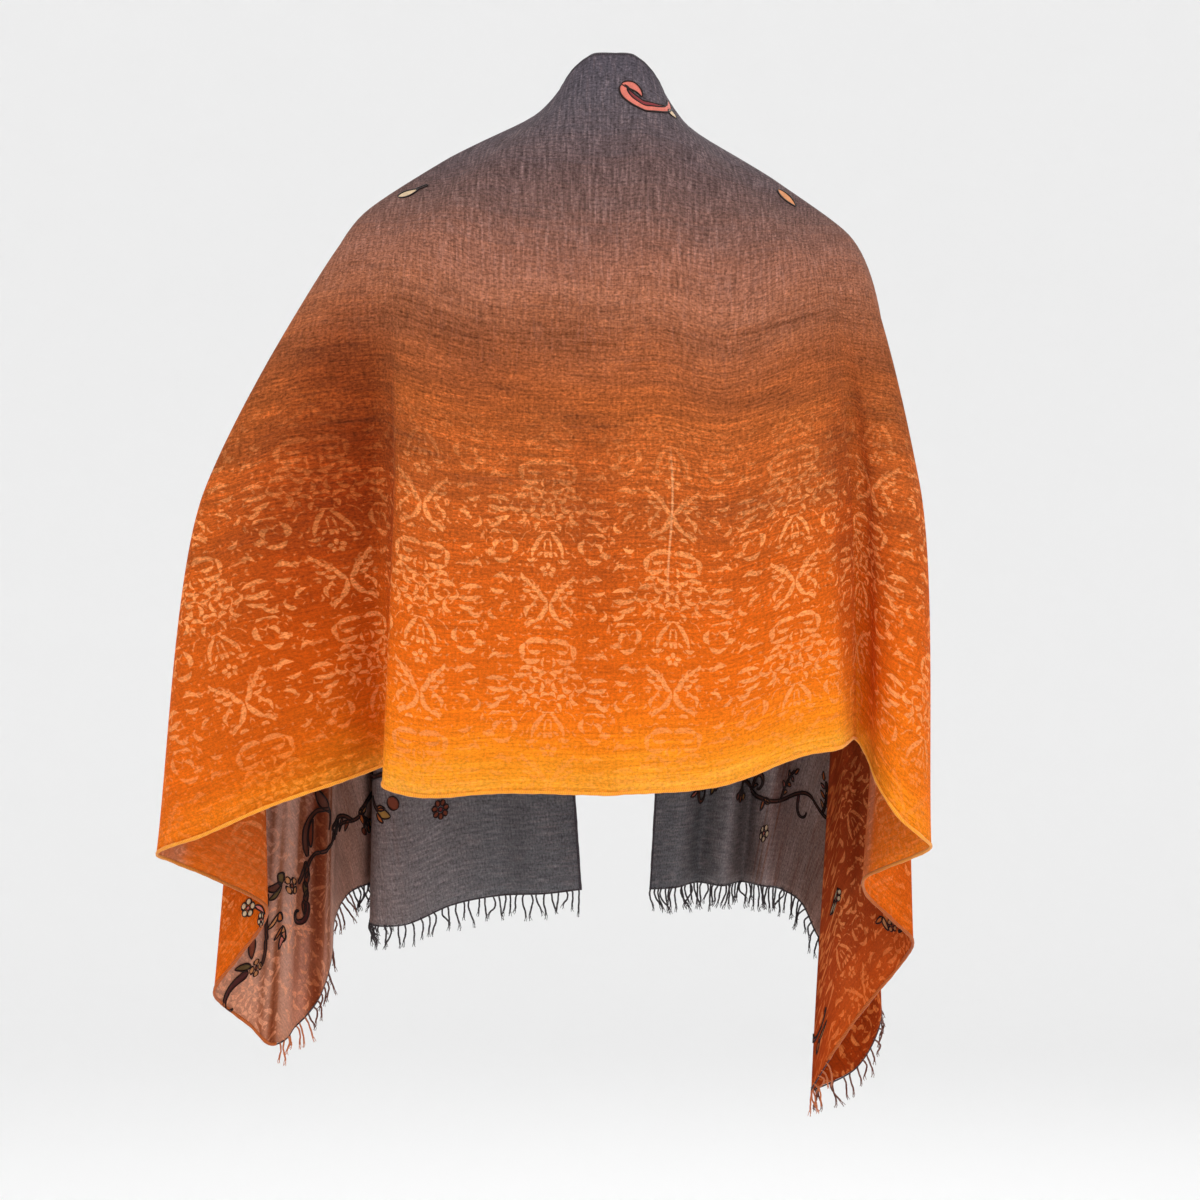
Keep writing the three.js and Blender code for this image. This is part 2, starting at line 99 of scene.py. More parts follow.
# Columns: e along the cloth's edge, w where the hang line leaves the shoulder ring, x, y, z of its end.
LEFT_FALL = [
    [0, 0, 0, -138, -600], [100, 100, -100, -141, -598], [165, 150, -168, -143, -601],
    [205, 176, -198, -136, -592], [235, 186, -188, -105, -582], [275, 196, -194, -66, -577],
    [325, 206, -233, -90, -590], [395, 218, -300, -105, -613], [455, 230, -356, -88, -638],
    [515, 242, -403, -52, -658], [545, 248, -394, -24, -666], [590, 252, -354, 2, -686],
    [645, 256, -313, 26, -714], [668, 259, -318, 46, -728], [715, 262, -343, 62, -762],
    [762, 265, -367, 76, -797], [785, 268, -362, 96, -808], [835, 271, -340, 110, -828],
    [900, 275, -315, 126, -849], [935, 278, -299, 143, -836], [975, 281, -278, 136, -812],
    [1025, 284, -265, 150, -774], [1070, 287, -263, 168, -736], [1105, 290, -252, 172, -714],
    [1145, 294, -235, 172, -704], [1210, 300, -224, 222, -712], [1240, 304, -208, 218, -720],
    [1320, 310, -228, 148, -735], [1350, 316, -222, 128, -738], [1385, 325, -195, 124, -737],
    [1440, 350, -150, 132, -719], [1500, 385, -104, 156, -712], [1555, 415, -62, 128, -708],
    [1600, 442, -28, 140, -705],
]
RIGHT_FALL = [
    [0, 0, 0, -138, -600], [100, 100, 100, -140, -590], [165, 150, 163, -142, -566],
    [208, 180, 196, -136, -560], [235, 192, 204, -108, -557], [280, 202, 215, -64, -556],
    [310, 207, 223, -70, -569], [340, 212, 232, -91, -595], [370, 222, 248, -106, -621],
    [400, 232, 270, -92, -640], [435, 240, 281, -58, -652], [465, 246, 270, -25, -662],
    [510, 250, 246, 15, -676], [560, 254, 229, 45, -690], [585, 257, 233, 65, -702],
    [635, 261, 258, 88, -728], [690, 265, 281, 108, -754], [720, 268, 277, 130, -768],
    [785, 271, 251, 140, -802], [900, 276, 206, 146, -866], [940, 279, 190, 152, -895],
    [970, 281, 195, 163, -896], [1020, 284, 234, 172, -877], [1090, 287, 256, 178, -815],
    [1110, 290, 250, 192, -800], [1175, 295, 200, 186, -758], [1220, 300, 181, 172, -721],
    [1260, 306, 163, 152, -707], [1320, 318, 140, 122, -700], [1370, 332, 124, 168, -700],
    [1430, 355, 103, 122, -700], [1480, 378, 82, 162, -700], [1540, 410, 60, 126, -702],
    [1600, 442, 36, 144, -705],
]


@dataclass(frozen=True)
class Arm:
    """How far an arm inside pushes the cloth out at its middle height, and where round the ring."""
    push: float
    centre: float
    spread: float
    lift: float


LEFT_ARM = Arm(push=62, centre=238, spread=34, lift=12)
RIGHT_ARM = Arm(push=32, centre=238, spread=34, lift=30)

# Soft creases. Columns: e where it lies, half width in e, depth (a trough is negative), v from, v to,
# and how far it leans in e for each v on its way down, upright at LEAN_MIDDLE.
CREASES = [
    [-8, 26, -2.6, 3.2, 5.3, 6], [62, 34, 2.2, 3.0, 5.2, -14], [-96, 40, 2.4, 3.1, 5.2, 10],
    [-150, 22, -1.8, 3.4, 5.2, -6], [128, 24, -2.0, 3.3, 5.2, 12], [-330, 22, -3.0, 3.2, 4.9, 16],
    [-400, 26, 3.2, 3.3, 4.7, -22], [-452, 20, -3.4, 3.2, 4.6, -26], [-492, 14, 2.4, 3.6, 5.2, 8],
    [-560, 18, -2.6, 3.3, 5.1, 10], [-610, 16, 2.4, 3.5, 5.2, -8], [-700, 18, -2.4, 3.6, 5.2, 8],
    [-810, 20, 2.6, 3.5, 5.2, 10], [-866, 16, -3.0, 3.7, 5.2, -6], [-908, 15, -3.6, 4.3, 5.4, -10],
    [-942, 17, 3.4, 3.6, 5.2, 8], [-984, 12, -4.4, 3.4, 5.1, 8], [-1034, 16, 2.6, 3.4, 5.1, 8],
    [-1086, 16, 2.4, 3.4, 5.1, -8], [-1180, 18, -2.6, 3.2, 5.0, 8], [-1285, 18, 2.6, 3.4, 5.1, 10],
    [-1412, 22, -2.2, 3.2, 5.1, -10], [-1470, 20, 2.2, 3.4, 5.0, 8], [-1530, 20, -2.2, 3.3, 5.1, 6],
    [256, 14, 2.0, 3.3, 5.1, 6], [325, 14, -2.2, 3.4, 5.1, -6], [386, 16, 2.4, 3.3, 5.0, 8],
    [450, 14, -2.2, 3.4, 5.1, -6], [535, 18, 2.6, 3.5, 5.2, 8], [612, 16, -2.4, 3.5, 5.2, -8],
    [662, 16, 2.2, 3.6, 5.2, 6], [750, 20, -2.6, 3.5, 5.2, 8], [842, 24, 2.8, 3.5, 5.2, -10],
    [925, 16, -2.2, 3.7, 5.2, 6], [1050, 20, 2.6, 3.5, 5.2, 8], [1140, 20, -2.6, 3.4, 5.1, -8],
    [1240, 16, 2.2, 3.3, 5.0, 6], [1345, 16, -2.0, 3.3, 5.1, 6], [1400, 14, 2.0, 3.4, 5.1, -6],
    [1510, 18, -2.2, 3.2, 5.1, 6],
]
LEAN_MIDDLE = 4.0
CREASE_ENDS = (0.7, 0.5)        # how softly they begin and end, in v
# Soft drag folds over the shoulders. Columns: w round the ring, half width, depth, v from, v to.
SHOULDER_FOLDS = [
    [-252, 12, 1.8, 1.0, 3.5], [-214, 14, -2.0, 1.3, 3.6], [-165, 18, 1.6, 1.5, 3.5],
    [-60, 26, -1.4, 0.4, 3.2], [40, 22, 1.2, 0.3, 2.9], [92, 16, -1.6, 0.2, 2.6], [150, 20, 1.6, 1.2, 3.4],
    [212, 13, -2.0, 1.2, 3.6], [250, 12, 1.8, 1.0, 3.5], [-330, 16, -2.0, 0.8, 3.4],
    [-392, 14, 1.8, 0.8, 3.5], [332, 16, -2.0, 0.8, 3.4], [394, 14, 1.8, 0.8, 3.5],
]
FOLD_ENDS = (0.6, 0.6)


def smooth_step(low: float, high: float, x: Array) -> Array:
    """Rises from 0 at low to 1 at high, level at both ends: 3u² - 2u³."""
    u = np.clip((x - low) / (high - low), 0.0, 1.0)
    return u * u * (3.0 - 2.0 * u)


def secant_slopes(knots: Array, values: Array) -> Array:
    """Slopes of smooth curves at their knots, each the mean of the two secants beside it, the nearer
    one weighing more.

    Args:
        knots: (curves, knots).
        values: (curves, knots, columns).

    Returns:
        (curves, knots, columns).
    """
    step = np.diff(knots, axis=1)[..., None]
    secant = np.diff(values, axis=1) / step
    inner = (secant[:, :-1] * step[:, 1:] + secant[:, 1:] * step[:, :-1]) / (step[:, :-1] + step[:, 1:])
    return np.concatenate([secant[:, :1], inner, secant[:, -1:]], axis=1)


def hermite(knots: Array, values: Array, index: Array, share: Array, softness: float = 1.0) -> Array:
    """Points on cubic Hermite curves: the ends of a stretch and its end slopes, each weighed by a
    cubic of the share of the way along it.

    Args:
        knots: (curves, knots).
        values: (curves, knots, columns).
        index: (curves, samples) the stretch that each sample is on.
        share: (curves, samples) the share of the way along it.
        softness: 1 rounds the curve fully at each knot, less keeps it straighter between them.

    Returns:
        (curves, samples, columns).
    """
    slopes = secant_slopes(knots, values)
    row = np.arange(knots.shape[0])[:, None]
    reach = ((knots[row, index + 1] - knots[row, index]) * softness)[..., None]
    u = share[..., None]
    u2, u3 = u * u, u * u * u
    return ((2 * u3 - 3 * u2 + 1) * values[row, index] + (u3 - 2 * u2 + u) * reach * slopes[row, index]
            + (3 * u2 - 2 * u3) * values[row, index + 1] + (u3 - u2) * reach * slopes[row, index + 1])


def table_curve(rows: Table, x: Array) -> Array:
    """Smooth curve through a table's rows, whose first column holds the knots.

    Args:
        rows: the table.
        x: (samples,) where to read it.

    Returns:
        (samples, columns - 1).
    """
    table = np.asarray(rows, float)
    knots = table[:, 0]
    index = np.clip(np.searchsorted(knots, x) - 1, 0, len(knots) - 2)
    share = np.clip((x - knots[index]) / (knots[index + 1] - knots[index]), 0.0, 1.0)
    return hermite(knots[None], table[None, :, 1:], index[None], share[None])[0]


def bell_sum(rows: Table, across: Array, v: Array, soft: Pair) -> Array:
    """A sum over a table's rows of soft bells across the hang lines: how much times
    exp(-(distance / half width)²), times a smooth rise after v from and a smooth fall before v to.

    Args:
        rows: columns place, half width, how much, v from, v to and, if given, how far it leans.
        across: (lines,) where each hang line is, as the places are given.
        v: (lines, samples).
        soft: how long the rise and the fall are, in v.

    Returns:
        (lines, samples).
    """
    total = np.zeros_like(v)
    for place, half, most, start, end, *lean in rows:
        centre = place + lean[0] * (v - LEAN_MIDDLE) if lean else place
        bell = np.exp(-(((across[:, None] - centre) / half) ** 2))
        risen, fallen = smooth_step(start, start + soft[0], v), smooth_step(end - soft[1], end, v)
        total += most * bell * risen * (1 - fallen)
    return total


@dataclass
class Frames:
    """Points of the cloth with unit directions along its edge, down its hang lines and out of it."""
    point: Array
    along: Array
    down: Array
    out: Array


def unit(vectors: Array) -> Array:
    """The same directions with length 1."""
    return vectors / np.maximum(np.linalg.norm(vectors, axis=-1, keepdims=True), 1e-12)


@dataclass
class Drape:
    """The cloth's middle surface, as hang lines from the collar over the shoulder to the edge.

    A hang line is named by e, its end's distance along the cloth's edge from the middle of the back:
    0 to 900 is the lower hem and 900 to 1600 the fringed end, and it is negative on the left. v runs
    0 to 3 down the yoke, to 4 at the middle of the fall and to 5 at the edge.
    """
    right_drop: Triple = (19, 30, 100)           # how far, and from x to x
    right_narrowing: Triple = (10, 120, 222)
    edge_step: float = 1.5                        # in e, to find a direction
    fall_step: float = 0.004                      # in v
    search_grid: tuple[int, int] = (321, 31)      # samples of e and of v, to start a search from
    search_block: int = 200
    search_steps: int = 6
    search_strides: Pair = (25.0, 0.3)          # the longest in e and in v
    probe: Pair = (1.0, 0.01)                   # in e and in v, to find a slope
    nodes: Array = field(init=False)
    node_cloth: Array = field(init=False)

    def __post_init__(self) -> None:
        """Samples the cloth coordinates once, for the search in locate."""
        e = np.linspace(-END_OF_EDGE, END_OF_EDGE, self.search_grid[0])
        v = np.linspace(0.0, FALL_END, self.search_grid[1])
        grid = self.base(e, np.broadcast_to(v, (len(e), len(v))))
        self.nodes = np.stack(np.meshgrid(e, v, indexing="ij"), axis=-1).reshape(-1, 2)
        self.node_cloth = grid[..., 3:].reshape(-1, 2)

    def hang_lines(self, e: Array) -> Array:
        """The six points that each hang line passes: four on the yoke, its middle and its end.

        Args:
            e: (lines,) edge distances.

        Returns:
            (lines, 6, 5): x, y, z, s, t of each point.
        """
        left = e < 0
        sign = np.where(left, -1.0, 1.0)
        size = np.abs(e)
        fall = np.where(left[:, None], table_curve(LEFT_FALL, size), table_curve(RIGHT_FALL, size))
        w, end = fall[:, 0], fall[:, 1:]
        rings = np.stack([table_curve(rows, w) for rows in YOKE_RINGS.values()], axis=1)
        x, z = rings[..., 0], rings[..., 2]
        drop, drop_from, drop_to = self.right_drop
        narrow, narrow_from, narrow_to = self.right_narrowing
        right = ~left[:, None]
        lowered = z - np.where(right, drop * smooth_step(drop_from, drop_to, x), 0.0)
        narrowed = x - np.where(right, narrow * smooth_step(narrow_from, narrow_to, x), 0.0)
        yoke = np.stack([sign[:, None] * narrowed, rings[..., 1], lowered,
                         sign[:, None] * rings[..., 3], rings[..., 4]], axis=-1)
        tip = yoke[:, -1]
        on_hem = size <= HALF_LENGTH
        edge_s = sign * np.where(on_hem, size, HALF_LENGTH)
        edge_t = np.where(on_hem, WIDTH, END_OF_EDGE - size)
        last = np.column_stack([end, edge_s, edge_t])
        middle = tip + MID_SHARE * (last - tip)
        for arm, side in ((LEFT_ARM, left), (RIGHT_ARM, ~left)):
            near = np.where(side, np.exp(-(((w - arm.centre) / arm.spread) ** 2)), 0.0)
            middle[:, 0] += sign * arm.push * near
            middle[:, 2] += arm.lift * near
        return np.concatenate([yoke, middle[:, None], last[:, None]], axis=1)

    def base(self, e: Array, v: Array) -> Array:
        """Points of the surface without its creases, on curves through the hang lines' six points.

        Args:
            e: (lines,) edge distances.
            v: (lines, samples) places down each hang line.

        Returns:
            (lines, samples, 5): x, y, z, s, t.
        """
        points = self.hang_lines(e)
        chords = np.linalg.norm(np.diff(points[..., :3], axis=1), axis=-1)
        knots = np.concatenate([np.zeros((len(e), 1)), np.cumsum(chords, axis=1)], axis=1)
        index = np.clip(np.floor(v).astype(int), 0, points.shape[1] - 2)
        return hermite(knots, points, index, v - index, FALL_SOFTNESS)

    def creasing(self, e: Array, v: Array) -> Array:
        """Height of the creases plus that of the folds over the shoulders, in millimetres."""
        ring = np.where(e < 0, -table_curve(LEFT_FALL, -e)[:, 0], table_curve(RIGHT_FALL, e)[:, 0])
        return bell_sum(CREASES, e, v, CREASE_ENDS) + bell_sum(SHOULDER_FOLDS, ring, v, FOLD_ENDS)

    def shaped(self, e: Array, v: Array) -> Array:
        """Points with their creases: the base surface moved out by the crease height.

        Args:
            e: (lines,) edge distances.
            v: (lines, samples).

        Returns:
            (lines, samples, 5).
        """
        points = self.base(e, v)
        out = self.normals(self.base, e, v)[2]
        points[..., :3] += out * self.creasing(e, v)[..., None]
        return points

    def normals(self, surface: Callable[[Array, Array], Array], e: Array,
                v: Array) -> tuple[Array, Array, Array]:
        """Unit directions along and down a surface by central differences, and out = down x along.

        Args:
            surface: base or shaped.
            e: (lines,) edge distances.
            v: (lines, samples).

        Returns:
            Three arrays, (lines, samples, 3).
        """
        low = np.maximum(e - self.edge_step, -END_OF_EDGE)
        high = np.minimum(e + self.edge_step, END_OF_EDGE)
        along = unit((surface(high, v) - surface(low, v))[..., :3])
        upper = np.maximum(v - self.fall_step, 0.0)
        lower = np.minimum(v + self.fall_step, FALL_END)
        down = unit((surface(e, lower) - surface(e, upper))[..., :3])
        return along, down, unit(np.cross(down, along))

    def frames(self, e: Array, v: Array) -> Frames:
        """Frames of the creased surface at scattered places.

        Args:
            e: any shape.
            v: the same shape.

        Returns:
            Frames whose arrays have that shape and 3 more columns.
        """
        flat_e, flat_v = np.ravel(e), np.ravel(v)[:, None]
        point = self.shaped(flat_e, flat_v)[:, 0, :3]
        along, down, out = self.normals(self.shaped, flat_e, flat_v)
        shape = np.shape(e) + (3,)
        return Frames(point.reshape(shape), along.reshape(shape), down.reshape(shape), out.reshape(shape))

    def locate(self, s: Array, t: Array) -> tuple[Array, Array]:
        """Finds e and v of points of the flat cloth: the nearest sample, then Newton steps.

        Args:
            s: along the length, any shape.
            t: across the width.

        Returns:
            e and v in that shape.
        """
        target = np.column_stack([np.ravel(s), np.ravel(t)])
        nearest = np.concatenate([
            np.argmin(((block[:, None] - self.node_cloth[None]) ** 2).sum(-1), axis=1)
            for block in np.array_split(target, max(len(target) // self.search_block, 1))])
        e, v = self.refine(target, self.nodes[nearest, 0], self.nodes[nearest, 1])
        return e.reshape(np.shape(s)), v.reshape(np.shape(s))

    def refine(self, target: Array, e: Array, v: Array) -> tuple[Array, Array]:
        """Newton steps from places near the wanted points of the flat cloth, in limited strides.

        Args:
            target: (points, 2) wanted s and t.
            e: (points,) where to start.
            v: (points,) where to start.

        Returns:
            e and v of the wanted points.
        """
        (probe_e, probe_v), (stride_e, stride_v) = self.probe, self.search_strides
        for _ in range(self.search_steps):
            here = self.base(e, v[:, None])[:, 0, 3:]
            side = np.where(e < 0, probe_e, -probe_e)
            drop = np.where(v > FALL_END / 2, -probe_v, probe_v)
            by_e = (self.base(e + side, v[:, None])[:, 0, 3:] - here) / side[:, None]
            by_v = (self.base(e, (v + drop)[:, None])[:, 0, 3:] - here) / drop[:, None]
            miss = target - here
            det = by_e[:, 0] * by_v[:, 1] - by_v[:, 0] * by_e[:, 1]
            det = np.where(np.abs(det) < TINY, TINY, det)
            move_e = (miss[:, 0] * by_v[:, 1] - by_v[:, 0] * miss[:, 1]) / det
            move_v = (by_e[:, 0] * miss[:, 1] - miss[:, 0] * by_e[:, 1]) / det
            e = np.clip(e + np.clip(move_e, -stride_e, stride_e), -END_OF_EDGE, END_OF_EDGE)
            v = np.clip(v + np.clip(move_v, -stride_v, stride_v), 0.0, FALL_END)
        return e, v


# ---- Meshes --------------------
def new_piece(name: str, points: Array, faces: Sequence[Sequence[int]], uv: Optional[Array] = None,
              slots: Optional[Array] = None, flat: Optional[Array] = None) -> Piece:
    """Makes a mesh object at the origin.

    Args:
        name: the piece's name.
        points: (points, 3) in millimetres.
        faces: corner indices of each face.
        uv: (points, 2) in metres, the same at every corner that uses a point.
        slots: material index of each face.
        flat: which faces are shaded flat.

    Returns:
        The object, linked to the scene.
    """
    mesh = bpy.data.meshes.new(name)
    mesh.from_pydata((points * MM).tolist(), [], faces)
    mesh.polygons.foreach_set("use_smooth", np.ones(len(faces), bool) if flat is None else ~flat)
    if slots is not None:
        mesh.polygons.foreach_set("material_index", slots.astype(np.int32))
    if uv is not None:
        corners = np.zeros(len(mesh.loops), np.int32)
        mesh.loops.foreach_get("vertex_index", corners)
        layer = mesh.uv_layers.new(name="cloth")
        layer.data.foreach_set("uv", uv[corners].astype(np.float32).ravel())
    mesh.update()
    piece = bpy.data.objects.new(name, mesh)
    bpy.context.scene.collection.objects.link(piece)
    return piece


def grid_faces(columns: int, rows: int, offset: int = 0, closed_columns: bool = False,
               turned: bool = False, closed_rows: bool = False) -> Array:
    """Quads over a grid of points numbered column by column.

    Args:
        columns: how many columns of points.
        rows: how many points in each.
        offset: number of the first point.
        closed_columns: whether each column closes round on itself, as on a tube.
        turned: whether the faces look the other way.
        closed_rows: whether the last column joins the first, as on a ring.

    Returns:
        (faces, 4) point numbers.
    """
    i = np.arange(columns if closed_rows else columns - 1)[:, None] * rows
    j = np.arange(rows if closed_columns else rows - 1)[None, :]
    after, k = (i + rows) % (columns * rows), (j + 1) % rows
    quads = np.stack([i + j, i + k, after + k, after + j], axis=-1).reshape(-1, 4) + offset
    return quads[:, ::-1] if turned else quads


@dataclass
class MeshParts:
    """Gathers points, faces, UVs and material numbers of many small bodies for one piece."""
    points: list = field(default_factory=list)
    faces: list = field(default_factory=list)
    uv: list = field(default_factory=list)
    slots: list = field(default_factory=list)
    count: int = 0

    def add(self, points: Array, faces: list, uv: Array, slot: int = 0) -> None:
        """Adds one body.

        Args:
            points: (points, 3).
            faces: lists of its own point numbers.
            uv: (points, 2).
            slot: material number of all its faces.
        """
        self.points.append(points)
        self.faces.extend([[n + self.count for n in face] for face in faces])
        self.uv.append(uv)
        self.slots.extend([slot] * len(faces))
        self.count += len(points)

    def piece(self, name: str) -> Piece:
        """Makes the piece of all that was added."""
        return new_piece(name, np.concatenate(self.points), self.faces, np.concatenate(self.uv),
                         np.array(self.slots))


def tube(rings: Array, along: Array, girth: float = 6.0, looped: bool = False) -> tuple[Array, list, Array]:
    """A closed tube through rings of points, with a flat cap at each end or its end on its start.

    Args:
        rings: (stations, corners, 3).
        along: (stations,) distance of each ring from the start, in millimetres.
        girth: once round it, in millimetres, for the UVs alone.
        looped: whether the last ring joins the first.

    Returns:
        points, faces and UVs, u along and v round, in metres.
    """
    stations, corners = rings.shape[:2]
    faces = grid_faces(stations, corners, closed_columns=True, closed_rows=looped).tolist()
    if not looped:
        faces.append(list(range(corners)))
        faces.append(list(range(stations * corners - 1, (stations - 1) * corners - 1, -1)))
    around = np.broadcast_to(np.arange(corners) / corners * girth, (stations, corners))
    uv = np.stack([np.broadcast_to(along[:, None], (stations, corners)), around], axis=-1).reshape(-1, 2)
    return rings.reshape(-1, 3), faces, uv * MM


def path_length(points: Array) -> Array:
    """Distance of each point of a path from its start."""
    return np.concatenate([[0.0], np.cumsum(np.linalg.norm(np.diff(points, axis=0), axis=-1))])


# ---- Shader nodes --------------------
WHITE = (1.0, 1.0, 1.0, 1.0)


def linear(red: float, green: float, blue: float) -> Colour:
    """A colour as the eye names it, turned into the linear values that shaders take: c / 12.92 up to
    0.04045 and ((c + 0.055) / 1.055)^2.4 above it.

    Args:
        red: 0 to 255.
        green: 0 to 255.
        blue: 0 to 255.

    Returns:
        The colour, with an alpha of 1.
    """
    values = np.array([red, green, blue]) / 255.0
    low, high = values / 12.92, ((values + 0.055) / 1.055) ** 2.4
    return (*np.where(values <= 0.04045, low, high).tolist(), 1.0)


@dataclass
class Graph:
    """Adds nodes to one node tree and links them."""
    tree: Tree

    def node(self, kind: str, inputs: Optional[dict] = None, **settings: object) -> Node:
        """Adds a node.

        Args:
            kind: the node's Blender type.
            inputs: values or sockets for its inputs, by name or number.
            **settings: its own properties.

        Returns:
            The node.
        """
        node = self.tree.nodes.new(kind)
        for name, value in settings.items():
            setattr(node, name, value)
        for name, value in (inputs or {}).items():
            self.feed(node.inputs[name], value)
        return node

    def feed(self, socket: Socket, value: Value) -> None:
        """Links a socket to an input, or writes a plain value on it.

        Args:
            socket: the input.
            value: another node's output, or a value.
        """
        if isinstance(value, Socket):
            self.tree.links.new(value, socket)
        else:
            socket.default_value = value

    def math(self, operation: str, *values: Value, clamp: bool = False) -> Socket:
        """A Math node's value."""
        node = self.node("ShaderNodeMath", dict(enumerate(values)), operation=operation, use_clamp=clamp)
        return node.outputs[0]

    def product(self, first: Value, *others: Value) -> Socket:
        """The product of several values."""
        return reduce(lambda value, other: self.math("MULTIPLY", value, other), others, first)

    def split(self, vector: Value) -> Outputs:
        """The three parts of a vector."""
        return self.node("ShaderNodeSeparateXYZ", {0: vector}).outputs

    def vector(self, operation: str, *values: Value) -> Socket:
        """A Vector Math node's vector."""
        return self.node("ShaderNodeVectorMath", dict(enumerate(values)), operation=operation).outputs[0]

    def attribute(self, name: str) -> Socket:
        """The value of a mesh's attribute."""
        return self.node("ShaderNodeAttribute", attribute_name=name).outputs["Fac"]

    def gray(self, value: Value) -> Socket:
        """A value as a colour of equal parts."""
        return self.node("ShaderNodeCombineColor", dict.fromkeys(range(3), value)).outputs[0]

    def blend(self, factor: Value, first: Value, second: Value, mode: str = "MIX") -> Socket:
        """A Mix node's colour.

        Args:
            factor: how much of the second.
            first: a colour.
            second: a colour.
            mode: how they are mixed.

        Returns:
            The mixed colour.
        """
        node = self.node("ShaderNodeMix", data_type="RGBA", blend_type=mode)
        self.feed(node.inputs[0], factor)
        self.feed(node.inputs[6], first)
        self.feed(node.inputs[7], second)
        return node.outputs[2]

    def spread(self, value: Value, low: Value, high: Value, to_low: Value = 0.0, to_high: Value = 1.0,
               smooth: bool = False) -> Socket:
        """A Map Range node's value, clamped.

        Args:
            value: what is mapped.
            low: where the range begins.
            high: where it ends.
            to_low: the result up to low.
            to_high: the result from high on.
            smooth: whether the change is level at both ends.

        Returns:
            The mapped value.
        """
        node = self.node("ShaderNodeMapRange", {0: value, 1: low, 2: high, 3: to_low, 4: to_high})
        node.interpolation_type = "SMOOTHSTEP" if smooth else "LINEAR"
        return node.outputs[0]

    def place(self, vector: Value, location: Sequence[float] = (0, 0, 0), turn: float = 0.0,
              scale: Sequence[float] = (1, 1, 1), inverse: bool = False) -> Socket:
        """A Mapping node's vector.

        Args:
            vector: what is moved.
            location: how far.
            turn: about the third axis, in radians.
            scale: how much larger.
            inverse: whether it brings a placed shape's coordinates back to the shape's own.

        Returns:
            The moved vector.
        """
        node = self.node("ShaderNodeMapping", {0: vector, 1: location, 2: (0, 0, turn), 3: scale},
                         vector_type="TEXTURE" if inverse else "POINT")
        return node.outputs[0]

    def noise(self, vector: Value, scale: float = 1.0, detail: float = 2.0, rough: float = 0.5) -> Socket:
        """A Noise Texture's value."""
        inputs = {"Vector": vector, "Scale": scale, "Detail": detail, "Roughness": rough}
        return self.node("ShaderNodeTexNoise", inputs).outputs[0]

    def group(self, tree: Tree, **inputs: Value) -> Node:
        """Places a node group, its inputs given by name."""
        return self.node("ShaderNodeGroup", inputs, node_tree=tree)


def new_group(name: str, inputs: dict, outputs: dict) -> tuple[Graph, Node, Node]:
    """Starts a shader node group.

    Args:
        name: the group's name.
        inputs: socket type of each input by name.
        outputs: socket type of each output by name.

    Returns:
        Its graph, its input node and its output node.
    """
    tree = bpy.data.node_groups.new(name, "ShaderNodeTree")
    for direction, sockets in (("INPUT", inputs), ("OUTPUT", outputs)):
        for label, kind in sockets.items():
            tree.interface.new_socket(label, in_out=direction, socket_type="NodeSocket" + kind)
    graph = Graph(tree)
    return graph, graph.node("NodeGroupInput"), graph.node("NodeGroupOutput")


